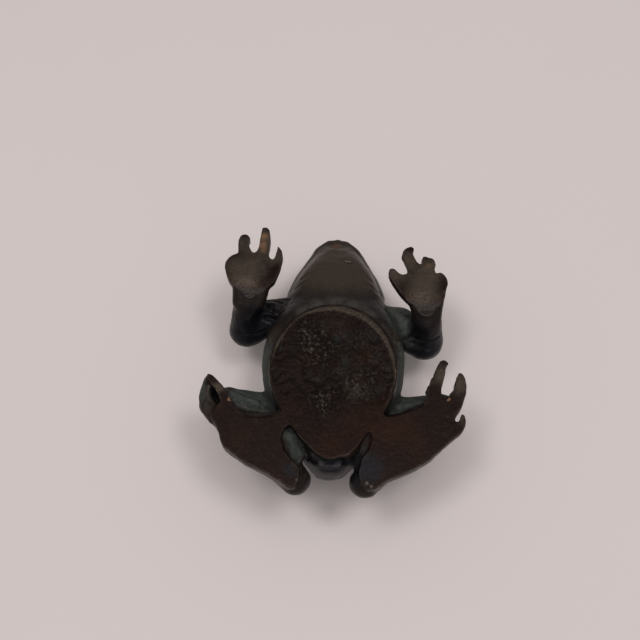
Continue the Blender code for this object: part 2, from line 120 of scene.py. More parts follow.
HAND_WEBS = [
    [(-28.7, 26.2, 32.0, 4.2), (-33.0, 33.2, 33.2, 3.0), (-23.0, 33.4, 33.2, 2.8)],
    [(-33.0, 33.2, 33.2, 3.0), (-23.0, 33.4, 33.2, 2.8), (-28.4, 36.2, 33.2, 2.4)],
    [(-34.4, 34.4, 33.0, 3.0), (-33.0, 35.6, 33.0, 2.8)],
    [(30.0, 21.4, 32.0, 4.0), (24.2, 28.2, 33.2, 2.7), (33.0, 26.8, 33.2, 3.0)],
    [(24.2, 28.2, 33.2, 2.7), (33.0, 27.0, 33.2, 3.0), (29.2, 33.0, 33.2, 2.4)],
    [(33.0, 28.4, 33.0, 3.0), (34.0, 30.4, 33.0, 2.6)],
]
LEG_WEBS = [
    [(-12.0, -15.0, 20.0, 8.4), (-20.0, -18.2, 20.0, 7.8), (-30.5, -13.0, 22.0, 7.4)],
    [(-30.5, -13.0, 22.0, 7.2), (-14.0, -33.0, 26.0, 5.0)],
    [(-21.0, -19.0, 24.0, 7.0), (-30.0, -15.8, 26.0, 5.8), (-17.6, -28.0, 27.0, 5.0)],
    [(-14.0, -33.0, 26.0, 5.0), (-10.6, -37.2, 30.6, 4.9)],
    [(-34.2, -9.8, 24.4, 4.4), (-25.0, -13.6, 26.6, 4.2), (-31.0, -15.0, 27.0, 5.0)],
    [(12.0, -15.0, 20.0, 8.4), (20.0, -17.6, 20.0, 8.0), (31.0, -12.2, 21.5, 7.2)],
    [(31.0, -12.2, 21.5, 7.2), (14.0, -33.0, 26.0, 5.0)],
    [(21.0, -18.0, 24.0, 7.0), (32.0, -13.6, 26.0, 6.0), (17.6, -28.0, 27.0, 5.0)],
    [(14.0, -33.0, 26.0, 5.0), (10.8, -37.4, 30.6, 4.9)],
]
FOOT_WEBS = [
    # Right: sole, and the body of the outer toe, which sinks away from the plane.
    [(-18.0, -21.4, 32.6, 3.4), (-29.0, -21.6, 32.6, 3.4), (-30.6, -26.4, 32.4, 3.2)],
    [(-18.0, -21.4, 32.6, 3.4), (-26.2, -30.0, 32.4, 3.2), (-14.0, -36.0, 32.2, 3.4)],
    [(-29.0, -21.6, 32.6, 3.4), (-34.0, -18.8, 32.6, 3.0), (-30.6, -26.4, 32.4, 3.2)],
    [(-34.6, -19.2, 32.4, 3.2), (-39.3, -14.4, 31.4, 3.0)],
    [(-39.3, -14.4, 31.4, 3.0), (-40.2, -9.6, 31.2, 2.0)],
    [(-40.2, -9.6, 31.4, 2.0), (-39.8, -6.6, 32.0, 1.6)],
    [(-36.0, -14.6, 30.0, 2.0), (-38.8, -8.6, 30.0, 1.6), (-35.6, -12.6, 30.0, 1.8)],
    # Left: sole, and the thin skin between the first two toes.
    [(18.0, -21.0, 32.6, 3.4), (29.6, -15.6, 32.6, 3.2), (35.6, -19.4, 32.6, 3.0)],
    [(18.0, -21.0, 32.6, 3.4), (35.6, -19.4, 32.6, 3.0), (25.4, -30.4, 32.4, 3.3)],
    [(18.0, -21.0, 32.6, 3.4), (25.4, -30.4, 32.4, 3.3), (14.0, -36.0, 32.2, 3.4)],
    [(34.8, -9.0, 30.8, 1.6), (37.2, -9.6, 30.8, 1.6), (36.0, -12.0, 31.6, 2.0)],
    # Ramps of the hollows between heels and belly.
    [(-17.0, -24.6, 33.0, 2.7), (-14.6, -30.6, 32.4, 2.7), (-11.4, -23.8, 31.0, 2.5),
     (-9.4, -28.4, 29.4, 2.2), (-11.6, -32.2, 30.4, 2.4)],
    [(13.8, -25.4, 33.4, 2.6), (11.0, -24.2, 32.9, 2.4), (11.6, -31.6, 32.4, 2.6),
     (9.4, -27.4, 31.8, 2.3), (7.8, -30.8, 30.4, 2.2)],
]
# Crisper than the bodies: the lip in front of each sole, the right foot's outer toe as a
# band that slopes outward, the wrists, and the blunt rear of the belly.
CRISP_WEBS = [
    [(-31.6, -17.0, 33.4, 2.2), (-28.2, -19.6, 33.2, 2.4)],
    [(-28.2, -19.6, 33.2, 2.4), (-23.4, -19.8, 33.0, 2.6)],
    [(-23.4, -19.8, 33.0, 2.6), (-17.0, -18.4, 33.0, 2.4)],
    [(18.6, -18.4, 33.0, 2.4), (22.4, -17.2, 33.2, 2.4)],
    [(22.4, -17.2, 33.2, 2.4), (28.0, -14.6, 33.4, 2.4)],
    [(-39.8, -6.2, 34.3, 1.0), (-39.5, -9.2, 34.1, 1.1), (-40.9, -8.8, 32.8, 1.1),
     (-40.6, -6.4, 32.9, 0.9)],
    [(-39.6, -9.2, 34.1, 1.1), (-39.4, -12.2, 34.1, 1.1), (-41.1, -12.4, 32.6, 1.3),
     (-40.9, -8.8, 32.8, 1.1)],
    [(-39.4, -12.2, 34.1, 1.1), (-37.8, -14.8, 34.3, 1.1), (-39.9, -16.0, 32.6, 1.7),
     (-41.1, -12.4, 32.6, 1.3)],
    [(-37.8, -14.8, 34.3, 1.1), (-35.6, -16.4, 34.6, 1.2), (-36.6, -18.8, 33.0, 2.4),
     (-39.9, -16.0, 32.6, 1.7)],
    [(-32.4, 27.4, 33.9, 2.3), (-24.4, 27.4, 33.9, 2.3), (-32.0, 22.6, 30.6, 2.6),
     (-26.2, 22.6, 30.6, 2.6), (-29.0, 19.6, 28.0, 2.6)],
    [(26.4, 24.0, 33.9, 2.3), (33.6, 24.2, 33.9, 2.3), (28.4, 19.0, 30.4, 2.6),
     (32.6, 19.2, 30.4, 2.6), (30.6, 16.4, 28.0, 2.6)],
    [(-4.6, -26.4, 34.6, 1.5), (8.8, -25.2, 34.5, 1.5), (-3.6, -29.4, 34.6, 1.5),
     (5.0, -29.8, 34.5, 1.5), (7.2, -28.2, 34.4, 1.5)],
]
# Flat outlines of palms and soles: underside and top, and the corners in order.
OUTLINES = [
    (PALM_SPAN, [  # right palm
        (-34.2, 26.4), (-35.8, 28.3), (-37.1, 31.2), (-37.6, 33.6), (-37.4, 35.2), (-36.5, 36.8),
        (-35.1, 38.0), (-33.5, 38.6), (-33.7, 43.6), (-33.3, 44.9), (-32.4, 45.9), (-31.4, 46.0),
        (-30.4, 45.4), (-29.7, 44.4), (-30.3, 42.7), (-29.8, 41.1), (-29.0, 39.5), (-28.4, 38.9),
        (-27.6, 39.3), (-26.9, 40.3), (-26.5, 42.2), (-26.4, 44.8), (-26.1, 48.5), (-25.1, 49.0),
        (-24.1, 48.7), (-23.2, 47.6), (-22.9, 43.0), (-23.2, 38.9), (-22.9, 37.6), (-22.1, 36.6),
        (-21.4, 36.5), (-20.9, 37.6), (-20.5, 39.5), (-20.3, 41.7), (-19.5, 41.1), (-18.7, 40.0),
        (-18.4, 38.4), (-18.6, 36.0), (-19.0, 33.6), (-19.6, 31.2), (-20.5, 28.6), (-22.4, 26.4),
        (-28.8, 27.0)]),
    (PALM_SPAN, [  # left palm
        (24.6, 22.2), (23.2, 23.6), (21.3, 25.8), (19.7, 28.3), (17.7, 31.3), (17.2, 32.9),
        (17.6, 34.4), (18.7, 34.9), (19.7, 34.4), (20.7, 33.2), (21.9, 32.5), (23.5, 32.9),
        (23.8, 34.5), (23.4, 36.5), (22.6, 38.5), (21.8, 39.8), (22.1, 41.5), (23.3, 42.8),
        (24.6, 43.4), (25.6, 43.0), (25.9, 42.1), (25.4, 40.8), (26.1, 39.1), (26.9, 37.5),
        (27.9, 36.8), (28.9, 37.3), (28.6, 39.1), (29.2, 39.8), (30.5, 39.4), (32.2, 39.0),
        (33.1, 37.6), (33.2, 36.5), (32.8, 34.8), (33.0, 33.5), (34.9, 33.8), (36.1, 32.9),
        (36.9, 31.2), (37.1, 29.6), (36.5, 27.7), (36.2, 25.4), (35.3, 23.2), (30.0, 23.4)]),
    (SOLE_SPAN, [  # right sole, with its inner toe
        (-36.6, -21.2), (-35.0, -24.0), (-34.0, -27.4), (-32.8, -29.2), (-29.7, -31.4),
        (-26.3, -33.7), (-23.5, -35.0), (-18.5, -37.3), (-15.2, -39.2), (-12.6, -41.0),
        (-10.6, -41.0), (-9.4, -38.6), (-9.2, -35.0), (-12.2, -32.3), (-14.4, -29.4),
        (-15.7, -25.5), (-14.8, -22.7), (-12.0, -20.0), (-13.6, -17.0), (-17.0, -17.4),
        (-19.2, -18.9), (-21.2, -19.5), (-23.4, -19.7), (-25.7, -19.4), (-28.0, -18.3),
        (-30.3, -16.1), (-31.6, -14.2), (-33.3, -11.3), (-35.0, -8.8), (-37.1, -6.7),
        (-38.5, -5.6), (-40.2, -5.0), (-39.7, -7.2), (-38.4, -8.8), (-37.2, -10.0),
        (-36.2, -12.0), (-35.0, -14.4), (-36.2, -16.6), (-38.0, -19.4)]),
    (SOLE_SPAN, [  # left sole, with its three toes
        (28.4, -14.0), (29.4, -11.5), (30.0, -8.8), (29.7, -7.4), (30.3, -6.6), (31.2, -6.1),
        (30.9, -4.4), (31.8, -3.7), (32.4, -2.0), (33.3, 0.4), (34.0, 1.7), (35.0, 2.4),
        (36.0, 2.0), (36.8, 1.2), (36.5, 0.6), (36.0, 0.4), (35.8, -0.6), (35.7, -2.3),
        (35.0, -5.0), (34.3, -7.2), (34.4, -9.6), (35.4, -11.4), (36.4, -10.8), (36.9, -9.2),
        (38.3, -7.6), (38.8, -6.7), (38.7, -5.4), (39.1, -4.4), (39.8, -3.0), (39.6, -2.2),
        (40.5, -1.9), (41.4, -2.6), (42.1, -4.0), (42.4, -6.1), (42.1, -9.1), (41.4, -11.1),
        (40.5, -13.8), (39.4, -15.4), (38.6, -17.0), (38.5, -18.6), (39.5, -18.3),
        (40.2, -16.9), (40.3, -15.9), (40.9, -15.6), (41.6, -16.4), (41.9, -17.7),
        (41.6, -19.7), (40.6, -21.6), (37.1, -24.6), (33.2, -28.3), (31.3, -30.2),
        (28.8, -32.0), (25.6, -33.9), (22.5, -35.5), (18.2, -37.4), (16.1, -39.1),
        (13.9, -40.6), (11.6, -40.9), (9.6, -39.0), (8.8, -35.6), (9.8, -31.4), (12.0, -28.2),
        (13.6, -24.8), (12.2, -22.8), (11.0, -20.4), (14.0, -16.6), (18.4, -17.5),
        (20.3, -17.3), (22.0, -16.6), (24.3, -15.9), (26.3, -15.0)]),
]

# The line of the mouth, from its corner to the snout.
MOUTH = [(15.2, 31.2, 22.6), (13.7, 37.5, 22.4), (11.0, 43.8, 22.0), (7.9, 48.8, 21.6),
         (5.2, 51.2, 21.2), (2.4, 52.4, 21.0), (0.0, 52.6, 21.0)]

# Tool marks: height above the surface (below it if negative), half width, and the line.
# The line is laid onto the surface, so its points need only be near it.
BOTH_SIDES = [
    # Mouth: the lower jaw set in, the groove, and the upper lip that juts beyond it.
    (-0.7, 2.2, [(14.6, 31.0, 25.0), (13.2, 37.4, 24.8), (10.4, 43.4, 24.2), (7.2, 48.0, 23.6),
                 (4.6, 50.4, 23.2), (0.0, 51.6, 22.8)]),
    (-0.8, 0.6, MOUTH),
    (0.5, 1.0, [(15.8, 31.0, 19.6), (14.3, 37.6, 19.4), (12.0, 43.4, 19.2), (9.4, 47.8, 19.0),
                (6.2, 51.6, 18.8), (3.0, 53.6, 18.8), (0.0, 54.0, 18.8)]),
    # Folds behind the corner of the mouth, and the hollow between throat and chest.
    (-0.35, 0.7, [(15.6, 30.2, 22.6), (13.0, 31.4, 25.4), (10.0, 34.4, 27.6)]),
    (-0.25, 0.6, [(14.8, 28.6, 24.0), (12.8, 29.6, 26.0), (10.6, 31.4, 28.2)]),
    (-0.15, 1.8, [(16.2, 22.6, 29.0), (9.0, 25.4, 31.6), (0.0, 26.0, 32.0)]),
    # Eyelids, nostrils and ear discs.
    (-0.5, 0.5, [(16.0, 31.6, 7.6), (14.6, 27.2, 7.8), (11.0, 25.0, 6.4), (7.0, 26.4, 5.0)]),
    (-0.5, 0.5, [(16.0, 31.6, 7.6), (14.4, 34.6, 7.6), (11.0, 36.4, 6.8), (7.4, 35.4, 5.6)]),
    (0.35, 0.7, [(16.8, 31.4, 9.0), (15.0, 26.0, 9.2), (10.8, 23.6, 6.2), (6.0, 26.0, 3.4)]),
    (-0.5, 0.8, [(3.0, 49.6, 11.4), (3.4, 48.8, 11.0)]),
    (-0.35, 0.5, [(18.6, 24.0, 11.6), (17.6, 26.4, 13.0), (17.6, 25.4, 15.8), (18.8, 22.6, 16.0),
                  (19.4, 21.4, 13.6), (18.6, 24.0, 11.6)]),
    # Ridges down both sides of the back, and the hips' points.
    (0.7, 1.6, [(14.6, 24.0, 5.0), (15.6, 14.0, 4.0), (15.0, 2.0, 3.0), (12.0, -10.0, 3.4),
                (8.0, -22.0, 6.6), (3.4, -31.0, 14.0)]),
    (-0.5, 1.2, [(11.8, 22.0, 1.6), (12.0, 12.0, 0.4), (10.6, -6.0, 0.6), (6.6, -20.0, 3.6)]),
    (0.5, 2.6, [(4.6, -8.0, 0.2), (5.6, -15.0, 1.8)]),
    # Flank: the skin hangs over into two long folds.
    (-0.35, 1.1, [(21.0, 14.0, 14.0), (23.4, 6.0, 14.0), (22.6, -3.0, 15.0)]),
    (0.3, 1.3, [(20.4, 14.0, 11.0), (22.6, 6.0, 10.6), (21.4, -4.0, 11.0)]),
    # Thigh and shank, seen from below and from the side.
    (-0.6, 0.8, [(33.0, -19.0, 24.6), (27.0, -25.0, 25.4), (20.0, -32.0, 26.6)]),
    (0.4, 1.6, [(36.6, -12.0, 18.0), (30.0, -17.4, 15.4), (22.0, -23.0, 16.6)]),
    (-0.4, 1.0, [(26.0, -8.4, 15.6), (30.0, -16.4, 14.6), (27.0, -21.0, 17.4)]),
]
ONE_SIDE = [
    # Knuckles and hollows of the palms.
    (-0.25, 1.4, [(-29.0, 30.6, 36.0), (-28.4, 33.6, 36.0)]),
    (-0.2, 1.3, [(29.6, 26.0, 36.0), (28.6, 29.4, 36.0)]),
    # Elbows.
    (-0.35, 0.5, [(-32.2, 14.4, 24.4), (-26.5, 13.6, 24.0), (-22.6, 15.0, 24.0)]),
    (-0.45, 0.5, [(22.4, 12.6, 24.0), (25.8, 14.6, 25.4), (30.4, 14.6, 25.6), (34.6, 17.4, 24.4)]),
    (0.3, 0.5, [(24.0, 12.6, 22.4), (27.0, 13.0, 22.8), (31.6, 12.4, 22.4)]),
    # The right upper arm's torn, pocketed skin.
    (-1.1, 1.2, [(-24.0, 23.6, 27.0), (-21.6, 21.4, 27.4)]),
    (-1.3, 1.0, [(-22.6, 19.4, 26.0), (-19.6, 18.0, 27.0), (-17.6, 17.8, 27.6)]),
    (0.9, 0.6, [(-22.6, 20.6, 27.4), (-19.4, 19.6, 27.8), (-16.8, 20.4, 28.6)]),
    (-0.5, 0.7, [(-23.6, 26.4, 25.6), (-18.4, 24.6, 28.0)]),
    (-0.5, 0.6, [(-20.6, 26.8, 25.0), (-15.6, 26.0, 27.4)]),
    (0.4, 0.8, [(-21.8, 24.4, 27.6), (-17.4, 22.4, 28.6)]),
    # The left upper arm's facets.
    (-0.5, 0.9, [(17.4, 23.0, 28.0), (20.6, 18.4, 28.4), (22.6, 14.4, 27.0)]),
    (0.4, 0.9, [(19.4, 23.6, 27.2), (22.6, 20.0, 28.0)]),
    (-0.4, 0.6, [(21.6, 22.4, 26.6), (25.0, 20.6, 26.4)]),
    # Thighs: the seam in front of each sole, and folds in the skin.
    (-0.5, 0.5, [(-30.6, -14.8, 30.8), (-26.0, -15.8, 30.6), (-18.6, -15.0, 30.6)]),
    (0.45, 0.7, [(-34.0, -8.4, 28.6), (-29.4, -10.6, 30.2), (-23.6, -12.2, 30.4)]),
    (-0.45, 0.7, [(-32.4, -7.6, 27.6), (-27.4, -9.6, 29.0), (-23.0, -11.0, 29.4)]),
    (-0.35, 0.6, [(-27.0, -12.6, 30.6), (-22.4, -14.0, 30.8)]),
    (-0.5, 0.5, [(19.6, -14.4, 30.8), (24.0, -12.8, 30.8), (29.0, -9.6, 30.6)]),
    (0.35, 0.8, [(21.4, -10.6, 29.4), (26.4, -8.4, 29.0), (31.0, -6.6, 27.6)]),
    (-0.35, 0.6, [(20.0, -12.6, 30.2), (26.0, -10.2, 30.2)]),
    # Heels: the ridge beside the right one, and the hollow beside it.
    (0.6, 0.45, [(-7.2, -29.3, 30.4), (-9.4, -30.8, 31.4), (-9.2, -34.4, 33.4), (-9.3, -38.0, 35.0)]),
    (-1.6, 0.9, [(-7.7, -30.6, 28.6), (-7.4, -32.4, 29.4), (-7.6, -35.0, 31.0)]),
    (-0.35, 0.8, [(7.4, -33.6, 32.6), (7.0, -37.2, 33.0)]),
    # Rump: the lip behind the belly, and the dark gap between them.
    (-1.5, 0.9, [(-6.4, -30.4, 33.6), (-3.4, -32.0, 33.8), (0.0, -32.5, 34.0), (3.2, -31.8, 33.8),
                 (6.0, -30.2, 33.6)]),
    (0.9, 0.6, [(-3.8, -33.8, 32.4), (0.0, -34.4, 32.2), (3.6, -33.4, 32.4)]),
    # Nick in the throat.
    (-0.7, 0.5, [(2.9, 41.1, 27.4), (4.6, 40.7, 27.2)]),
    # Nail marks and breaks on toes and fingers.
    (-0.35, 0.4, [(-26.2, 47.2, 35.0), (-25.6, 47.9, 35.6)]),
    (-0.3, 0.5, [(34.0, -3.4, 35.8), (34.6, -1.6, 35.8)]),
    (-0.3, 0.5, [(35.0, -20.4, 36.0), (37.8, -19.6, 36.0)]),
]
# Holes dug straight down: depth, half width, line.
DUG = [
    (2.0, 0.7, [(-38.0, -10.4), (-37.6, -11.6), (-36.6, -13.2)]),
]
# The right upper arm's torn skin: its middle, and how far it reaches each way.
TORN_SKIN, TORN_REACH = (-20.5, 22.5, 27), (5, 6, 4)
# Lumps of the belly's casting: height, radius, centre.
BELLY_LUMPS = [
    (0.28, 4.2, (7.7, -8.8)), (0.22, 3.2, (2.6, -6.4)), (-0.25, 3.0, (4.6, -1.0)),
    (0.2, 4.0, (-3.0, 6.0)), (-0.22, 4.2, (-7.0, -2.4)), (0.2, 3.4, (-11.0, -3.0)),
    (0.22, 4.2, (-3.0, -14.4)), (-0.25, 4.4, (8.4, 3.4)), (-0.2, 3.6, (0.0, -20.0)),
    (-0.2, 4.0, (-7.4, 12.6)), (0.15, 3.6, (4.0, 13.0)), (-0.2, 3.6, (10.6, -13.6)),
]


def egg(grow):
    half_width, front, rear, taper = EGG
    for step in range(EGG_POINTS):
        turn = math.tau * step / EGG_POINTS
        across, along = math.cos(turn), math.sin(turn)
        reach = (front if along > 0 else rear) + grow
        narrow = 1.0 if along > 0 else 1 - taper * along**2
        yield Vector((across * (half_width + grow) * narrow, along * reach + EGG_WIDEST_Y, 0))


def egg_depth(x, y):
    """How far inside the belly's outline points are, roughly in millimetres."""
    half_width, front, rear, taper = EGG
    v = (y - EGG_WIDEST_Y) / np.where(y > EGG_WIDEST_Y, front, rear)
    narrow = np.where(v > 0, 1.0, 1 - taper * v**2)
    u = x / (half_width * np.maximum(narrow, 0.2))
    return (1 - np.sqrt(u**2 + v**2)) * half_width


def merge_in(bm, shape):
    bmesh.ops.recalc_face_normals(shape, faces=shape.faces)
    mesh = bpy.data.meshes.new("shape")
    shape.to_mesh(mesh)
    shape.free()
    bm.from_mesh(mesh)
    bpy.data.meshes.remove(mesh)


def add_web(bm, balls):
    skin = bmesh.new()
    for x, y, z, radius in balls:
        bmesh.ops.create_icosphere(skin, subdivisions=3, radius=radius,
                                   matrix=Matrix.Translation((x, y, z)))
    hull = bmesh.ops.convex_hull(skin, input=skin.verts)
    inner = [v for v in hull["geom_interior"] if isinstance(v, bmesh.types.BMVert)]
    bmesh.ops.delete(skin, geom=inner, context="VERTS")
    merge_in(bm, skin)


def add_rings(bm, rings):
    """A skin over closed rings of points, shut at both ends."""
    skin = bmesh.new()
    for points in rings:
        circle = bmesh.ops.create_circle(skin, segments=len(points), radius=1.0)["verts"]
        for vert, point in zip(circle, points):
            vert.co = point
    bmesh.ops.bridge_loops(skin, edges=skin.edges[:])
    bmesh.ops.holes_fill(skin, edges=[e for e in skin.edges if e.is_boundary])
    merge_in(bm, skin)


def eased_stations(steps=4):
    """The stations with smoothly interpolated ones between them."""
    rows = np.array(STATIONS)
    slopes = np.gradient(rows[:, 1:], rows[:, 0], axis=0)
    for first in range(len(rows) - 1):
        y0, y1 = rows[first, 0], rows[first + 1, 0]
        start, end = rows[first, 1:], rows[first + 1, 1:]
        for t in np.arange(steps) / steps:
            climb = (y1 - y0) * ((t**3 - 2 * t**2 + t) * slopes[first]
                                 + (t**3 - t**2) * slopes[first + 1])
            blend = t * t * (3 - 2 * t)
            yield (y0 + t * (y1 - y0), *(start + blend * (end - start) + climb))
    yield tuple(rows[-1])


def trunk_rings():
    for y, half_width, widest_z, belly_z, back_z in eased_stations():
        points = []
        for step in range(RING_POINTS):
            turn = math.tau * step / RING_POINTS
            side, height = math.cos(turn), math.sin(turn)
            power = 2 / (BELLY_SQUARENESS if height > 0 else BACK_SQUARENESS)
            reach = abs((belly_z if height > 0 else back_z) - widest_z)
            points.append(Vector((
                math.copysign(abs(side) ** power, side) * half_width, y,
                widest_z + math.copysign(abs(height) ** power, height) * reach,
            )))
        yield points


def add_plate(bm, span, outline):
    """A flat plate of the given outline."""
    underside, top = span
    plate = bmesh.new()
    face = plate.faces.new([plate.verts.new((x, y, underside)) for x, y in outline])
    raised = bmesh.ops.extrude_face_region(plate, geom=[face])
    upper = [v for v in raised["geom"] if isinstance(v, bmesh.types.BMVert)]
    bmesh.ops.translate(plate, vec=(0, 0, top - underside), verts=upper)
    merge_in(bm, plate)


def fused(bm, rounds):
    """One closed skin round everything in bm, smoothed."""
    mesh = bpy.data.meshes.new("wax")
    bm.to_mesh(mesh)
    bm.free()
    wax = bpy.data.objects.new("wax", mesh)
    bpy.context.scene.collection.objects.link(wax)
    merge = wax.modifiers.new("merge", "REMESH")
    merge.mode = "VOXEL"
    merge.voxel_size = GRAIN
    relax = wax.modifiers.new("relax", "SMOOTH")
    relax.factor = 0.5
    relax.iterations = rounds
    graph = bpy.context.evaluated_depsgraph_get()
    baked = bpy.data.meshes.new_from_object(wax.evaluated_get(graph))
    wax.modifiers.clear()
    wax.data = baked
    return wax


def wax_form():
    """The whole frog as one skin, in millimetres: soft bodies, then crisp plates."""
    bm = bmesh.new()
    add_rings(bm, list(trunk_rings()))
    for balls in HEAD_WEBS + ARM_WEBS + HAND_WEBS + LEG_WEBS + FOOT_WEBS:
        add_web(bm, balls)
    soft = fused(bm, SOFT_ROUNDS)
    bm = bmesh.new()
    bm.from_mesh(soft.data)
    bpy.data.objects.remove(soft)
    add_rings(bm, [[p + Vector((0, 0, z)) for p in egg(grow)] for z, grow in BELLY_RINGS])
    for balls in CRISP_WEBS:
        add_web(bm, balls)
    for span, outline in OUTLINES:
        add_plate(bm, span, outline)
    return fused(bm, CRISP_ROUNDS)


def keep_outer_skin(mesh):
    bm = bmesh.new()
    bm.from_mesh(mesh)
    bm.verts.index_update()
    highest = max(bm.verts, key=lambda vert: vert.co.y)
    seen = bytearray(len(bm.verts))
    seen[highest.index] = 1
    front = [highest]
    while front:
        for edge in front.pop().link_edges:
            for vert in edge.verts:
                if not seen[vert.index]:
                    seen[vert.index] = 1
                    front.append(vert)
    bmesh.ops.delete(bm, geom=[v for v in bm.verts if not seen[v.index]], context="VERTS")
    bm.to_mesh(mesh)
    bm.free()


def smooth_step(low, high, value):
    t = np.clip((value - low) / (high - low), 0, 1)
    return t * t * (3 - 2 * t)


class Wax:
    """Vertex-level work on the form: marks, hollows, flats, grain and patina values."""

    def __init__(self, mesh):
        self.mesh = mesh
        self.points = np.empty((len(mesh.vertices), 3), np.float64)
        self.read()

    def read(self):
        flat = np.empty(len(self.mesh.vertices) * 3, np.float32)
        self.mesh.vertices.foreach_get("co", flat)
        self.points = flat.reshape(-1, 3).astype(np.float64)

    def write(self):
        self.mesh.vertices.foreach_set("co", self.points.astype(np.float32).ravel())
        self.mesh.update()

    def normals(self):
        self.write()
        flat = np.empty(len(self.mesh.vertices) * 3, np.float32)
        self.mesh.vertices.foreach_get("normal", flat)
        return flat.reshape(-1, 3).astype(np.float64)

    def tree(self):
        self.write()
        bm = bmesh.new()
        bm.from_mesh(self.mesh)
        tree = BVHTree.FromBMesh(bm)
        bm.free()
        return tree

    def dense_line(self, line, step=0.35):
        dense = []
        for a, b in zip(line, line[1:]):
            a, b = Vector(a), Vector(b)
            count = max(2, int((b - a).length / step))
            dense += [a.lerp(b, i / count) for i in range(count)]
        return dense + [Vector(line[-1])]

    def nearness(self, samples, reach):
        """1 on the samples, falling to 0 at reach, with the vertices that it concerns."""
        samples = np.array(samples)
        axes = samples.shape[1]
        low, high = samples.min(0) - reach, samples.max(0) + reach
        inside = np.all((self.points[:, :axes] > low) & (self.points[:, :axes] < high), axis=1)
        who = np.flatnonzero(inside)
        here = self.points[who, :axes]
        nearest = np.full(len(who), 1e9)
        for sample in samples:
            nearest = np.minimum(nearest, ((here - sample) ** 2).sum(1))
        near = np.clip(1 - np.sqrt(nearest) / reach, 0, 1)
        close = near > 0
        return who[close], near[close]

    def mark(self, tree, normals, height, half_width, line):
        laid = [tree.find_nearest(p)[0] for p in self.dense_line(line)]
        who, near = self.nearness([tuple(p) for p in laid], 2 * half_width)
        shape = near * near * (3 - 2 * near)
        self.points[who] += normals[who] * (height * shape)[:, None]

    def grain(self, size, seed):
        """Smooth noise between about -1 and 1 at every vertex."""
        places = self.points / size + seed
        return np.array([noise.noise(Vector(p)) for p in places.tolist()])


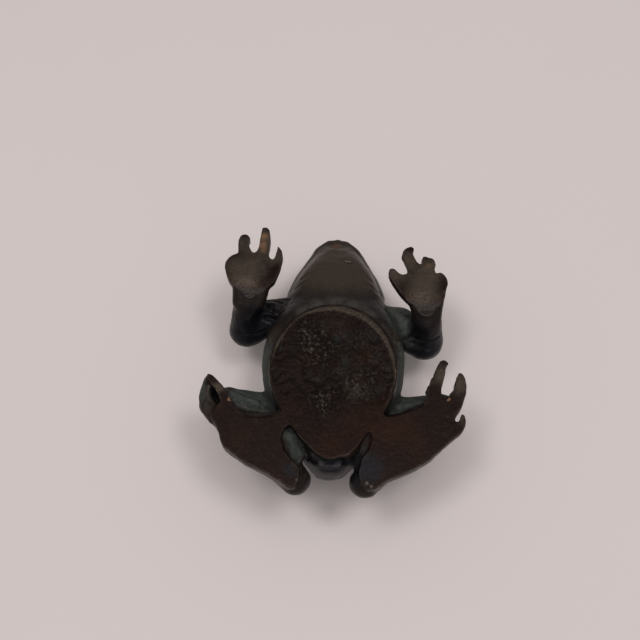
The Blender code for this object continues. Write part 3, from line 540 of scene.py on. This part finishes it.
# Patina with painted shade, sheen and glints, laid in blobs: colour name, strength, radius, centre.
PATINA = [
    ("green", 0.8, 3.0, (-21.6, 27.0, 25)), ("green", 0.5, 2.4, (-24.6, 23.4, 25)),
    ("painted_shade_and_dark_patina", 0.45, 6.0, (-20, 22.4, 27)),
    ("green", 1.0, 6.5, (20, 20, 27)), ("green", 0.8, 4.5, (24, 22, 24)),
    ("green", 1.0, 5.5, (-29.4, -9.8, 29)), ("green", 1.0, 5.0, (-22.4, -11, 29)),
    ("green", 0.8, 5.0, (21, -12, 29)), ("green", 0.8, 5.5, (28, -8, 28)),
    ("green", 1.0, 3.0, (-13.6, -24.4, 33)), ("green", 1.0, 3.6, (-11.6, -28.4, 31.4)),
    ("green", 0.7, 3.4, (9.0, -26.0, 32)),
    ("green", 0.75, 3.6, (-41.0, -11.4, 32.6)), ("green", 0.7, 3.0, (-40.6, -7, 32.6)),
    ("green", 0.5, 3.0, (-39.4, -15.6, 33.0)),
    ("green", 1.0, 2.0, (36.0, -9.8, 31)), ("green", 0.7, 1.2, (38.4, -17.8, 35)),
    ("green", 0.35, 3.0, (35.0, -15.0, 36)), ("green", 0.3, 1.2, (34.6, -13.0, 36)),
    ("green", 0.9, 8.0, (24, 6, 26)), ("green", 0.9, 8.0, (-24, 4, 26)),
    ("green", 0.9, 7.0, (22.5, -5, 26)), ("green", 0.9, 7.0, (-22.5, -5, 26)),
    ("green", 0.25, 6.0, (-26, 33, 36)), ("green", 0.4, 5.0, (-9, -35, 34)),
    # Dark blobs from here on: painted shade on the forearms, the rump, between the heels and in the
    # right foot's hole, with some dark patina on the arms.
    ("painted_shade_and_dark_patina", 1.0, 8.0, (-29, 16.6, 22)), ("painted_shade_and_dark_patina", 0.85, 5.0, (-27.6, 20, 28)),
    ("painted_shade_and_dark_patina", 1.0, 8.0, (30, 13.4, 22)), ("painted_shade_and_dark_patina", 0.8, 4.6, (28.6, 17.4, 28)),
    ("painted_shade_and_dark_patina", 1.0, 7.0, (0, -36, 25)), ("painted_shade_and_dark_patina", 1.0, 5.0, (0, -34, 30)),
    ("painted_shade_and_dark_patina", 0.7, 9.0, (0, -33, 16)), ("painted_shade_and_dark_patina", 1.0, 3.6, (-7.4, -31.4, 29)),
    ("painted_shade_and_dark_patina", 0.7, 4.0, (6.6, -31.4, 30)), ("painted_shade_and_dark_patina", 0.6, 6.0, (-24, 30, 22)),
    ("painted_shade_and_dark_patina", 0.5, 4.0, (-12.4, -36.0, 36)), ("painted_shade_and_dark_patina", 0.55, 6.0, (12.6, -33.6, 36)),
    ("painted_shade_and_dark_patina", 0.6, 4.6, (8.4, -36.0, 33)), ("painted_shade_and_dark_patina", 0.6, 2.4, (-38.0, -11.4, 31)),
    ("painted_shade_and_dark_patina", 1.0, 3.0, (-20.6, 16.6, 25)), ("painted_shade_and_dark_patina", 0.7, 2.4, (-23.6, 20.0, 26)),
    ("brown", 1.0, 12.0, (0, 45, 22)), ("brown", 1.0, 9.0, (0, 36, 29)),
    ("brown", 0.9, 7.0, (9, 33, 26)), ("brown", 0.8, 7.0, (-9, 33, 26)),
    ("brown", 0.9, 6.0, (13, 35, 21)), ("brown", 0.9, 6.0, (-13, 35, 21)),
    # Grey on the sides of the jaws: painted sheen.
    ("painted_sheen_and_grey_patina", 0.9, 5.0, (-13, 37, 21)), ("painted_sheen_and_grey_patina", 0.9, 5.0, (13, 37, 21)),
    ("painted_sheen_and_grey_patina", 0.9, 4.6, (-9, 45, 22)), ("painted_sheen_and_grey_patina", 0.9, 4.6, (9, 45, 22)),
    ("painted_sheen_and_grey_patina", 0.9, 5.0, (-15, 32, 22)), ("painted_sheen_and_grey_patina", 0.9, 5.0, (15, 32, 22)),
    ("painted_sheen_and_grey_patina", 0.6, 2.6, (-41.0, -12.0, 33)),
    ("brown", 0.9, 4.4, (21, 12, 31)), ("brown", 0.8, 4.4, (-21, 12, 31)),
    ("painted_sheen_and_grey_patina", 0.5, 3.4, (22, 10, 31)),
    ("brown", 0.9, 6.5, (28.6, 28.0, 36)), ("brown", 0.9, 4.5, (31.6, 35, 36)),
    ("brown", 0.9, 4.5, (24, 38, 35)), ("brown", 0.9, 4.0, (19, 33, 35)),
    ("brown", 1.0, 5.5, (-24.7, 44, 35)), ("brown", 0.8, 5.5, (-31, 30, 36)),
    ("brown", 0.65, 6.0, (-27, 35, 36)), ("brown", 0.6, 4.0, (-32, 42, 35)),
    ("brown", 0.6, 3.4, (-19.4, 38, 35)), ("brown", 0.6, 4.0, (-35.4, 34, 35)),
    ("brown", 0.75, 4.4, (34.5, -3, 35)), ("brown", 0.7, 4.4, (41, -6, 35)),
    ("brown", 0.55, 3.4, (40.6, -17, 35)), ("brown", 0.8, 2.6, (-36.4, -10, 36)),
    ("brown", 0.7, 3.0, (-39.2, -17.4, 33.4)),
    ("brown", 0.8, 2.2, (-27.8, -17.4, 34)), ("brown", 0.85, 2.2, (-23.6, -17.4, 34)),
    ("brown", 0.8, 2.2, (-19.6, -16.8, 34)), ("brown", 0.4, 1.8, (21.6, -16.0, 35)),
    ("brown", 0.4, 1.8, (26.4, -14.0, 35)), ("brown", 0.3, 8.0, (0, 13, 36)),
    ("brown", 0.55, 4.4, (8.0, -8.8, 36)), ("brown", 0.3, 6.0, (6.0, 0.0, 36)),
    ("rust", 0.9, 4.4, (10.5, 1.9, 36)), ("rust", 0.9, 6.0, (-0.6, -27, 36)),
    ("rust", 0.7, 6.0, (7.0, -21, 36)), ("rust", 0.5, 6.0, (-13, -17, 36)),
    ("rust", 0.5, 7.0, (-8, 0, 36)), ("rust", 0.6, 6.0, (-28, -25, 36)),
    ("rust", 0.8, 7.0, (18, -22, 36)), ("rust", 0.7, 5.0, (25, -22, 36)),
    ("rust", 0.6, 7.0, (14, -14, 36)), ("rust", 0.5, 5.0, (27, -29, 36)),
    ("rust", 0.7, 2.4, (-35.6, -15.8, 36)),
    ("copper", 1.0, 0.9, (-32.2, -13.6, 36)), ("copper", 0.7, 0.8, (-31.6, -12.6, 36)),
    ("copper", 0.9, 1.0, (36.4, -11.0, 36)), ("copper", 0.9, 1.9, (-25.2, 45.4, 35.8)),
    ("copper", 0.9, 1.7, (-25.4, 42.0, 35.8)), ("copper", 0.5, 1.4, (-24.8, 39.2, 35.8)),
    ("copper", 0.5, 2.2, (30.6, 36.0, 35.8)), ("copper", 0.5, 1.2, (36.6, 30.6, 35.4)),
    ("copper", 0.35, 1.4, (32.4, 38.0, 35.6)), ("copper", 0.35, 1.6, (24.0, 41.0, 36)),
    ("copper", 0.55, 1.5, (-11.4, -40.2, 34.6)), ("copper", 0.55, 1.4, (-15.0, -38.6, 35.2)),
    ("copper", 0.5, 1.0, (-18.4, -37.0, 35.4)), ("copper", 0.45, 1.0, (12.6, -40.0, 35.6)),
    ("copper", 0.4, 1.8, (34.2, -2.0, 35.8)), ("copper", 0.6, 3.4, (0, 51.4, 21)),
    ("copper", 0.3, 5.0, (5, 36, 28)),
    # Grey on the chest, throat and belly: painted sheen.
    ("painted_sheen_and_grey_patina", 0.75, 4.0, (0, 23.4, 33)), ("painted_sheen_and_grey_patina", 0.7, 3.6, (-6, 21.8, 33)),
    ("painted_sheen_and_grey_patina", 0.7, 3.4, (-11, 18.6, 33)), ("painted_sheen_and_grey_patina", 0.75, 3.6, (6.4, 22, 33)),
    ("painted_sheen_and_grey_patina", 0.7, 3.4, (11.6, 18.6, 33)), ("painted_sheen_and_grey_patina", 0.6, 3.0, (15.6, 13.6, 33)),
    ("painted_sheen_and_grey_patina", 0.5, 4.0, (-6, 40, 26)), ("painted_sheen_and_grey_patina", 0.4, 3.6, (-9, 36, 25)),
    ("painted_sheen_and_grey_patina", 0.4, 3.4, (8.2, -9.4, 36)), ("painted_sheen_and_grey_patina", 0.3, 3.4, (-2.9, -14.5, 36)),
    # Where the belly gets painted glint specks, and stronger bumps.
    ("painted_glints_and_bump_zone", 1.0, 6.5, (-6.0, 5.6, 36)), ("painted_glints_and_bump_zone", 0.7, 5.0, (-9.0, 11.6, 36)),
    ("painted_glints_and_bump_zone", 1.0, 5.2, (7.4, -8.8, 36)), ("painted_glints_and_bump_zone", 1.0, 5.2, (-3.4, -13.6, 36)),
    ("painted_glints_and_bump_zone", 0.5, 5.0, (8.0, 8.6, 36)), ("painted_glints_and_bump_zone", 0.35, 14.0, (0, 0, 36)),
    ("painted_glints_and_bump_zone", 0.5, 5.0, (11.0, -4.0, 36)), ("painted_glints_and_bump_zone", 0.3, 12.0, (28, -22, 36)),
    ("painted_glints_and_bump_zone", 0.25, 12.0, (-26, -24, 36)), ("painted_glints_and_bump_zone", 0.4, 6.0, (-28, 31, 36)),
    ("painted_glints_and_bump_zone", 0.3, 6.0, (29, 28, 36)),
    # Small grey spots: painted highlights on a palm, a finger, the heels' tips, the torn skin's
    # ridge, the rump's lip and a toe.
    ("painted_sheen_and_grey_patina", 0.2, 5.0, (-29, 31, 36)), ("painted_sheen_and_grey_patina", 0.4, 2.4, (-32.6, 42, 36)),
    ("painted_sheen_and_grey_patina", 0.9, 0.7, (11.3, -38.9, 36)), ("painted_sheen_and_grey_patina", 0.9, 0.6, (12.8, -39.8, 36)),
    ("painted_sheen_and_grey_patina", 0.9, 0.6, (-10.0, -38.6, 35.6)), ("painted_sheen_and_grey_patina", 0.7, 0.5, (-9.2, -33.6, 33.6)),
    ("painted_sheen_and_grey_patina", 0.9, 0.6, (-21.6, 18.1, 26.6)), ("painted_sheen_and_grey_patina", 0.9, 0.6, (-19.8, 17.8, 27.2)),
    ("painted_sheen_and_grey_patina", 0.9, 0.6, (-18.0, 18.0, 27.8)), ("painted_sheen_and_grey_patina", 0.7, 0.7, (-3.6, -33.8, 32.2)),
    ("painted_sheen_and_grey_patina", 0.6, 0.6, (2.0, -33.4, 32.2)), ("painted_sheen_and_grey_patina", 0.6, 0.6, (36.2, -16.6, 36)),
]
FINE_RELIEF, BROAD_RELIEF = 6, 30  # rounds of spreading that hollows are judged against
MOUTH_DARK = 1.0  # reach of the painted shade along the line of the mouth
# The dark tone is mostly painted shade, the grey tone mostly painted sheen, and the glint tone marks
# the painted glint specks.
TONES = ("green", "painted_shade_and_dark_patina", "brown", "rust", "copper", "painted_sheen_and_grey_patina", "painted_glints_and_bump_zone")


def rim_place(work):
    """How far inside the belly's outline each vertex is, and the rim's width there."""
    x, y = work.points[:, 0], work.points[:, 1]
    width = RIM_WIDTH + RIM_GAIN * smooth_step(-6.0, 12.0, y) * smooth_step(-12.0, 6.0, x)
    return egg_depth(x, y) + 0.35 * work.grain(3.1, 77.0), width


def cut_marks(work):
    """Tool marks and holes."""
    tree, normals = work.tree(), work.normals()
    for height, half_width, line in ONE_SIDE:
        work.mark(tree, normals, height, half_width, line)
    for height, half_width, line in BOTH_SIDES:
        work.mark(tree, normals, height, half_width, line)
        work.mark(tree, normals, height, half_width, [(-x, y, z) for x, y, z in line])
    for depth, half_width, line in DUG:
        samples = [tuple(p)[:2] for p in work.dense_line([(x, y, 0) for x, y in line])]
        who, near = work.nearness(samples, 1.5 * half_width)
        upper = work.points[who, 2] > HOLE_FLOOR
        who, near = who[upper], near[upper]
        work.points[who, 2] -= depth * smooth_step(0.0, 0.55, near)


def make_uneven(work, field, middling, fine):
    """Lumpy hand-made surfaces and the grain of the casting, on all but the flats."""
    normals = work.normals()
    x, y, z = work.points.T
    coarse = work.grain(7.0, 3.1)
    sole = smooth_step(34.6, 35.6, z) * (1 - field)
    torn = np.exp(-(((work.points - TORN_SKIN) / TORN_REACH) ** 2).sum(1))
    throat = smooth_step(24.0, 30.0, y) * smooth_step(20.0, 24.0, z)
    bulge = 0.30 * coarse * (1 - sole) * (1 - field) + 0.11 * middling + 0.05 * fine
    bulge += torn * (0.35 * middling + 0.18 * fine)
    bulge += throat * 0.08 * work.grain(3.6, 5.5)
    work.points += normals * bulge[:, None]


def level_underside(work, field, inside, middling, fine):
    """Belly, palms and soles in one plane: a flat rim in front, and a dished, hammered
    field inside it that runs out over the soles."""
    x, y, z = work.points.T
    run_out = smooth_step(-9.0, -15.0, y)
    hammered = np.maximum(field, run_out * (0.3 + 0.7 * smooth_step(-3.0, 2.0, inside)))
    hammered *= 1 - 0.75 * run_out
    dents = 0.38 * work.grain(1.25, 41.0) + 0.42 * work.grain(2.5, 57.0) - 0.22
    dents += 0.7 * work.grain(6.5, 15.0)
    for height, radius, (cx, cy) in BELLY_LUMPS:
        dents = dents + height * np.exp(-((x - cx) ** 2 + (y - cy) ** 2) / radius**2)
    dish = field * smooth_step(-20.0, 0.0, y) * smooth_step(-16.0, 4.0, x) * FIELD_DISH
    level = HEIGHT - STAND_RELIEF - dish + hammered * np.minimum(dents + 0.05, 0.0)

    # The palms ease down into the wrists.
    edge_y = np.where(x < 0, WRIST_EDGE["right"], WRIST_EDGE["left"])
    ease = np.clip((edge_y - y) / WRIST_RUN, 0, 1) ** 2 * (smooth_step(8.0, 12.0, y) > 0)
    level -= WRIST_FALL * ease * smooth_step(17.6, 19.6, np.abs(x))

    level -= (1 - hammered) * (0.03 + 0.06 * np.abs(middling) + 0.03 * np.abs(fine))
    work.points[:, 2] = np.where(z > level, level, z)
    work.points[:, 2] = np.maximum(work.points[:, 2], 0.0)


def worked_wax():
    """The form with all its marks, and its patina, painted shade and painted highlight values as
    attributes.
    """
    wax = wax_form()
    keep_outer_skin(wax.data)
    work = Wax(wax.data)
    cut_marks(work)
    middling, fine = work.grain(2.2, 11.7), work.grain(0.9, 23.3)
    inside, rim_width = rim_place(work)
    y, z = work.points[:, 1], work.points[:, 2]
    field = smooth_step(rim_width - 0.8, rim_width + 0.8, inside) * smooth_step(34.0, 35.2, z)
    field *= smooth_step(-32.0, -26.0, y)
    make_uneven(work, field, middling, fine)
    level_underside(work, field, inside, middling, fine)
    work.write()
    paint(work)
    return wax


def paint(work):
    """Patina values, painted shade and painted highlights: hollows and edges, flats, rim and belly,
    and the painted tones.
    """
    mesh, points = work.mesh, work.points
    normals = work.normals()
    inside, rim_width = rim_place(work)
    count = len(points)
    ends = np.empty(len(mesh.edges) * 2, np.int32)
    mesh.edges.foreach_get("vertices", ends)
    ends = ends.reshape(-1, 2)
    valence = np.maximum(np.bincount(ends.ravel(), minlength=count), 1)[:, None]

    def spread(values, rounds):
        for _ in range(rounds):
            total = np.zeros_like(values)
            np.add.at(total, ends[:, 0], values[ends[:, 1]])
            np.add.at(total, ends[:, 1], values[ends[:, 0]])
            values = total / valence
        return values

    relief = ((points - spread(points, FINE_RELIEF)) * normals).sum(1)
    broad = ((points - spread(points, BROAD_RELIEF)) * normals).sum(1)
    layers = {
        "hollow": np.clip(-relief / 0.10, 0, 1) * 0.6 + np.clip(-broad / 0.35, 0, 1) * 0.6,
        "edge": np.clip(relief / 0.12, 0, 1) * 0.6 + np.clip(broad / 0.5, 0, 1) * 0.5,
        "contact": smooth_step(34.9, 35.6, points[:, 2]),
        # The rim: a painted highlight on the belly's flat rim, strongest at its front and right.
        "rim": smooth_step(0.0, 0.5, inside) * smooth_step(rim_width + 0.9, rim_width - 0.9, inside)
               * smooth_step(-16.0, 2.0, points[:, 1] + 0.25 * points[:, 0])
               * smooth_step(34.6, 35.2, points[:, 2]),
        "belly": smooth_step(-0.2, 0.6, egg_depth(points[:, 0], points[:, 1]))
                 * smooth_step(33.5, 35.0, points[:, 2]),
    }
    for tone in TONES:
        clear = np.ones(count)
        for name, strength, radius, centre in PATINA:
            if name == tone:
                away = ((points - centre) ** 2).sum(1) / radius**2
                clear *= 1 - strength * np.exp(-away)
        layers[tone] = 1 - clear
    # Painted shade along the groove of the mouth.
    for side in (-1, 1):
        line = [tuple(p) for p in work.dense_line([(side * x, y, z) for x, y, z in MOUTH])]
        who, near = work.nearness(line, MOUTH_DARK)
        layers["painted_shade_and_dark_patina"][who] = np.maximum(layers["painted_shade_and_dark_patina"][who], near)
    for name, values in layers.items():
        layer = mesh.attributes.new(name, "FLOAT", "POINT")
        layer.data.foreach_set("value", values.astype(np.float32))


class Sock:
    """A shader socket that can be used in a Python expression."""

    def __init__(self, tree, socket):
        self.tree, self.socket = tree, socket

    def _math(self, operation, *values):
        return add_node(self.tree, "ShaderNodeMath", {"operation": operation},
                        dict(enumerate(values))).out(0)

    def __add__(self, other):
        return self._math("ADD", self, other)

    def __sub__(self, other):
        return self._math("SUBTRACT", self, other)

    def __mul__(self, other):
        return self._math("MULTIPLY", self, other)

    def __rsub__(self, other):
        return self._math("SUBTRACT", other, self)

    __radd__ = __add__
    __rmul__ = __mul__

    def between(self, low, high):
        """0 below low and 1 above high, smooth in between."""
        return add_node(
            self.tree, "ShaderNodeMapRange",
            {"interpolation_type": "SMOOTHSTEP", "clamp": True},
            {"Value": self, "From Min": low, "From Max": high},
        ).out(0)


class Made:
    def __init__(self, tree, node):
        self.tree, self.node = tree, node

    def out(self, key):
        return Sock(self.tree, self.node.outputs[key])


def add_node(tree, kind, settings=None, sockets=None):
    """A node with its settings, then its sockets: numbers, tuples or links."""
    node = tree.nodes.new(kind)
    for name, value in (settings or {}).items():
        setattr(node, name, value)
    for key, value in (sockets or {}).items():
        socket = node.inputs[key]
        if isinstance(value, Sock):
            tree.links.new(value.socket, socket)
        else:
            socket.default_value = value
    return Made(tree, node)


def mixed(tree, share, first, second):
    """Colour first, going over to second with share."""
    made = add_node(tree, "ShaderNodeMix", {"data_type": "RGBA"}, {0: share, 6: first, 7: second})
    return made.out(2)


def speckle(tree, scale, detail, roughness=0.6, distortion=0.0):
    place = add_node(tree, "ShaderNodeTexCoord").out("Object")
    made = add_node(tree, "ShaderNodeTexNoise", None, {
        "Vector": place, "Scale": scale, "Detail": detail, "Roughness": roughness,
        "Distortion": distortion,
    })
    return made.out(0)


def painted(tree, name):
    return add_node(tree, "ShaderNodeAttribute", {"attribute_name": name}).out("Fac")


COLOURS = {
    "ground": (0.0200, 0.0155, 0.0140, 1),
    "belly": (0.0080, 0.0034, 0.0022, 1),
    "green": (0.0350, 0.0400, 0.0350, 1),
    "green_light": (0.0700, 0.0780, 0.0690, 1),
    # painted shade, with some dark patina
    "painted_shade_and_dark_patina": (0.0095, 0.0102, 0.0135, 1),
    "brown": (0.0520, 0.0385, 0.0290, 1),
    # painted highlight of the belly's rim
    "rim": (0.0420, 0.0310, 0.0235, 1),
    "rust": (0.0150, 0.0050, 0.0020, 1),
    "copper": (0.1900, 0.1050, 0.0600, 1),
    # painted sheen, with some grey patina
    "painted_sheen_and_grey_patina": (0.0860, 0.0780, 0.0710, 1),
    "dust": (0.1300, 0.1200, 0.1100, 1),
    # painted glint specks
    "painted_glint_specks": (0.1300, 0.1080, 0.0920, 1),
    "hole": (0.0040, 0.0040, 0.0045, 1),
}


def patina_material():
    material = bpy.data.materials.new("patinated bronze")
    material.use_nodes = True
    tree = material.node_tree
    shader = tree.nodes["Principled BSDF"]
    cloudy = speckle(tree, 240, 5)
    mottled = speckle(tree, 620, 5, 0.65)
    fine = speckle(tree, 2400, 4, 0.7)
    break_up = (cloudy - 0.5) * 1.1 + (mottled - 0.5) * 0.9

    def tone(name, low=0.25, high=0.75, ragged=1.0):
        return (painted(tree, name) + break_up * ragged).between(low, high)

    hollow, edge = painted(tree, "hollow"), painted(tree, "edge")
    contact, belly = painted(tree, "contact"), painted(tree, "belly")
    colour = mixed(tree, contact * (0.75 + mottled * 0.5), COLOURS["ground"], COLOURS["belly"])
    colour = mixed(tree, tone("brown", 0.15, 0.95, 0.45), colour, COLOURS["brown"])
    colour = mixed(tree, tone("rust", 0.25, 0.95, 0.6) * 0.8, colour, COLOURS["rust"])
    # Painted highlight on the belly's rim.
    colour = mixed(tree, tone("rim", 0.2, 0.95, 0.8) * 0.8, colour, COLOURS["rim"])
    # Painted shade, with some dark patina.
    colour = mixed(tree, tone("painted_shade_and_dark_patina", 0.2, 0.8, 0.35) * 0.9, colour, COLOURS["painted_shade_and_dark_patina"])
    verdigris = (hollow * 0.6 + mottled - 0.85).between(0.0, 0.6) * (1 - contact) * 0.35
    green = tone("green", 0.22, 0.8, 0.5) * (1 - contact * 0.6) + verdigris
    colour = mixed(tree, green.between(0.05, 1.0) * 0.92, colour, COLOURS["green"])
    colour = mixed(tree, green * (mottled * 1.3 - 0.52).between(0.0, 0.4) * 0.5, colour,
                   COLOURS["green_light"])
    # Painted sheen, with some grey patina.
    colour = mixed(tree, tone("painted_sheen_and_grey_patina", 0.25, 0.95, 0.6) * 0.7, colour, COLOURS["painted_sheen_and_grey_patina"])
    worn = (edge * 0.8 + (fine - 0.5) * 0.7 + break_up * 0.8).between(0.45, 1.05)
    colour = mixed(tree, worn * (0.4 - belly * 0.25), colour, COLOURS["brown"])
    leather = speckle(tree, 1050, 4, 0.6, 0.15)
    facets = leather * 0.7 + fine * 0.3
    # Painted glint specks on the belly, where the glint zone lies.
    painted_glints_and_bump_zone = tone("painted_glints_and_bump_zone", 0.25, 0.95, 0.8)
    painted_glint_specks = painted_glints_and_bump_zone * facets.between(0.49, 0.63)
    colour = mixed(tree, painted_glint_specks * 0.5, colour, COLOURS["painted_glint_specks"])
    copper = tone("copper", 0.3, 0.85, 0.6)
    colour = mixed(tree, copper * 0.8, colour, COLOURS["copper"])
    flecks = (fine * 0.6 + mottled * 0.55).between(0.74, 0.84)
    colour = mixed(tree, flecks * 0.3, colour, COLOURS["dust"])
    pits = 1 - speckle(tree, 1500, 3, 0.6, 0.4).between(0.33, 0.43)
    colour = mixed(tree, (hollow.between(0.3, 1.0) * 0.5 + pits * 0.4).between(0.0, 1.0), colour,
                   COLOURS["hole"])
    tree.links.new(colour.socket, shader.inputs["Base Color"])
    rough = 0.38 + green * 0.28 - belly * 0.1 + hollow * 0.1
    rough = rough + (mottled - 0.5) * 0.2 - worn * 0.04
    tree.links.new(rough.socket, shader.inputs["Roughness"])
    metal = 0.6 - green.between(0.0, 1.0) * 0.45 + copper * 0.3
    tree.links.new(metal.socket, shader.inputs["Metallic"])
    shader.inputs["Specular IOR Level"].default_value = 0.14
    lumpy = leather * 0.55 + fine * 0.22 + mottled * 0.4
    height = lumpy * (0.32 + belly * 1.1 + painted_glints_and_bump_zone * belly * 1.6) - pits * 0.12
    bump = add_node(tree, "ShaderNodeBump", None,
                    {"Strength": 0.9, "Distance": 0.0004, "Height": height})
    tree.links.new(bump.out(0).socket, shader.inputs["Normal"])
    return material


def dowel_material():
    material = bpy.data.materials.new("drawn brass")
    material.use_nodes = True
    tree = material.node_tree
    shader = tree.nodes["Principled BSDF"]
    drawn = speckle(tree, 900, 3)
    tree.links.new(mixed(tree, drawn, (0.42, 0.29, 0.12, 1), (0.55, 0.41, 0.2, 1)).socket,
                   shader.inputs["Base Color"])
    tree.links.new((0.25 + drawn * 0.2).socket, shader.inputs["Roughness"])
    shader.inputs["Metallic"].default_value = 1.0
    return material


# Planes that part the castings, each as a point and the direction that lies beyond it.
# These are the right side's; the left side mirrors them.
SHOULDER = ((-22.4, 20.6, 21.5), (-0.92, 0.38, 0.0))
HIP = ((-21.6, -10.0, 24.0), (-0.905, -0.424, 0.0))
ELBOWS = {-1: (-30.4, 18.0, 18.5), 1: (30.9, 16.0, 18.5)}
ELBOW_BEYOND = (-0.81, 0.21, 0.55)


def flipped(plane):
    point, beyond = plane
    return point, tuple(-value for value in beyond)


def on_side(plane, side):
    """A plane of the right side as it is on side -1, the right, or 1, the left."""
    return tuple((-side * x, y, z) for x, y, z in plane)


def parted(source, planes):
    """The part of source that lies beyond every plane, closed where it was cut."""
    bm = source.copy()
    for point, beyond in planes:
        geometry = bm.verts[:] + bm.edges[:] + bm.faces[:]
        cut = bmesh.ops.bisect_plane(bm, geom=geometry, dist=1e-5, plane_co=point,
                                     plane_no=beyond, clear_inner=True)
        rim = [e for e in cut["geom_cut"] if isinstance(e, bmesh.types.BMEdge)]
        if rim:
            filled = bmesh.ops.triangle_fill(bm, use_beauty=False, edges=rim, normal=beyond)
            for item in filled["geom"]:
                if isinstance(item, bmesh.types.BMFace) and item.normal.dot(Vector(beyond)) > 0:
                    item.normal_flip()
            for edge in rim:
                if edge.is_valid:
                    edge.smooth = False
    loose = [v for v in bm.verts if not v.link_faces]
    bmesh.ops.delete(bm, geom=loose, context="VERTS")
    return bm


def finished(name, bm, material, slot):
    bmesh.ops.scale(bm, vec=(MM, MM, MM), verts=bm.verts)
    bmesh.ops.translate(bm, vec=MIDDLE, verts=bm.verts)
    mesh = bpy.data.meshes.new(name)
    bm.to_mesh(mesh)
    bm.free()
    for polygon in mesh.polygons:
        polygon.use_smooth = True
    piece = bpy.data.objects.new(name, mesh)
    bpy.context.scene.collection.objects.link(piece)
    mesh.materials.append(material)
    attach(piece, "root")
    return piece


def part_castings(wax, material):
    whole = bmesh.new()
    whole.from_mesh(wax.data)
    bpy.data.objects.remove(wax)
    shoulders = [on_side(SHOULDER, side) for side in (-1, 1)]
    hips = [on_side(HIP, side) for side in (-1, 1)]
    body = parted(whole, [flipped(plane) for plane in shoulders + hips])
    seam = ((0, 0, PLATE_FOOT - SEAM_DROP), (0, 0, 1))
    cast = {
        "belly_plate": (parted(body, [seam]), "belly_bronze"),
        "back_shell": (parted(body, [flipped(seam)]), "verdigris_bronze"),
    }
    body.free()
    for side, word in ((-1, "right"), (1, "left")):
        half = parted(whole, [((0, 0, 0), (side, 0, 0))])
        split = ((0, ARM_AND_LEG_Y, 0), (0, 1, 0))
        arm = parted(half, [split, on_side(SHOULDER, side)])
        elbow = (ELBOWS[side], on_side((ELBOW_BEYOND,), side)[0])
        cast[f"{word}_upper_arm"] = (parted(arm, [flipped(elbow)]), "dark_bronze")
        cast[f"{word}_forearm"] = (parted(arm, [elbow]), "dark_bronze")
        leg = parted(half, [flipped(split), on_side(HIP, side)])
        sole = ((0, 0, SOLE_Z), (0, 0, 1))
        cast[f"{word}_thigh"] = (parted(leg, [flipped(sole)]), "dark_bronze")
        cast[f"{word}_foot"] = (parted(leg, [sole]), "dark_bronze")
        for used in (half, arm, leg):
            used.free()
    whole.free()
    for node, (bm, slot) in cast.items():
        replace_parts(finished(f"{node}_casting", bm, material, slot), node)


SENSOR, LENS = 36, 52.73  # millimetres
CAMERA_PLACE = (0, -0.11238, 0.31416)  # metres from the belly's middle
CAMERA_FORWARD = (-0.016, 0.4157, -0.9094)
# Lamps: name, place, diameter, watts and colour.
LAMPS = (
    ("softbox -1", (-0.34, -0.02, 1.1), 0.3, 2.5, (1.0, 0.99, 0.98)),
    ("softbox 1", (0.34, -0.02, 1.1), 0.3, 2.5, (1.0, 0.99, 0.98)),
    ("ceiling", (0.0, -0.1, 1.3), 1.2, 5.0, (1.0, 0.985, 0.98)),
)
LAMP_TARGET = (0, 0, 0.02)
ROOM_COLOUR, ROOM_STRENGTH = (1.0, 0.985, 0.98, 1), 0.4
TABLE_REACH = 4.0
TABLE_TONES = ((0.61, 0.545, 0.533, 1), (0.63, 0.563, 0.55, 1))


def add_camera():
    """Above and behind the rump, looking down at the belly."""
    lens = bpy.data.cameras.new("camera")
    lens.sensor_width = SENSOR
    lens.lens = LENS
    lens.clip_start = 0.01
    camera = bpy.data.objects.new("camera", lens)
    bpy.context.scene.collection.objects.link(camera)
    forward = Vector(CAMERA_FORWARD).normalized()
    right = forward.cross(Vector((0, 0, 1))).normalized()
    up = right.cross(forward)
    turn = Matrix((right, up, -forward)).transposed().to_4x4()
    camera.matrix_world = Matrix.Translation(Vector(CAMERA_PLACE) + MIDDLE) @ turn
    bpy.context.scene.camera = camera


def add_lamp(name, place, size, power, colour):
    lamp = bpy.data.lights.new(name, "AREA")
    lamp.shape = "DISK"
    lamp.size = size
    lamp.energy = power
    lamp.color = colour
    light = bpy.data.objects.new(name, lamp)
    bpy.context.scene.collection.objects.link(light)
    aim = (Vector(LAMP_TARGET) - Vector(place)).to_track_quat("-Z", "Y").to_matrix().to_4x4()
    light.matrix_world = Matrix.Translation(place) @ aim


def add_studio():
    bm = bmesh.new()
    bmesh.ops.create_grid(bm, x_segments=1, y_segments=1, size=TABLE_REACH)
    mesh = bpy.data.meshes.new("table")
    bm.to_mesh(mesh)
    bm.free()
    table = bpy.data.objects.new("table", mesh)
    bpy.context.scene.collection.objects.link(table)
    material = bpy.data.materials.new("pale table")
    material.use_nodes = True
    tree = material.node_tree
    shader = tree.nodes["Principled BSDF"]
    tree.links.new(mixed(tree, speckle(tree, 6, 3), *TABLE_TONES).socket,
                   shader.inputs["Base Color"])
    shader.inputs["Roughness"].default_value = 0.75
    shader.inputs["Specular IOR Level"].default_value = 0.2
    mesh.materials.append(material)
    for lamp in LAMPS:
        add_lamp(*lamp)
    world = bpy.data.worlds.new("room")
    world.use_nodes = True
    bpy.context.scene.world = world
    room = world.node_tree.nodes["Background"]
    room.inputs["Color"].default_value = ROOM_COLOUR
    room.inputs["Strength"].default_value = ROOM_STRENGTH
    bpy.context.scene.view_settings.view_transform = "Standard"


add_camera()
add_studio()
part_castings(worked_wax(), patina_material())
dowel_brass = dowel_material()
for node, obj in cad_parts.items():
    if "dowel" in node:
        obj.data.materials.clear()
        obj.data.materials.append(dowel_brass)
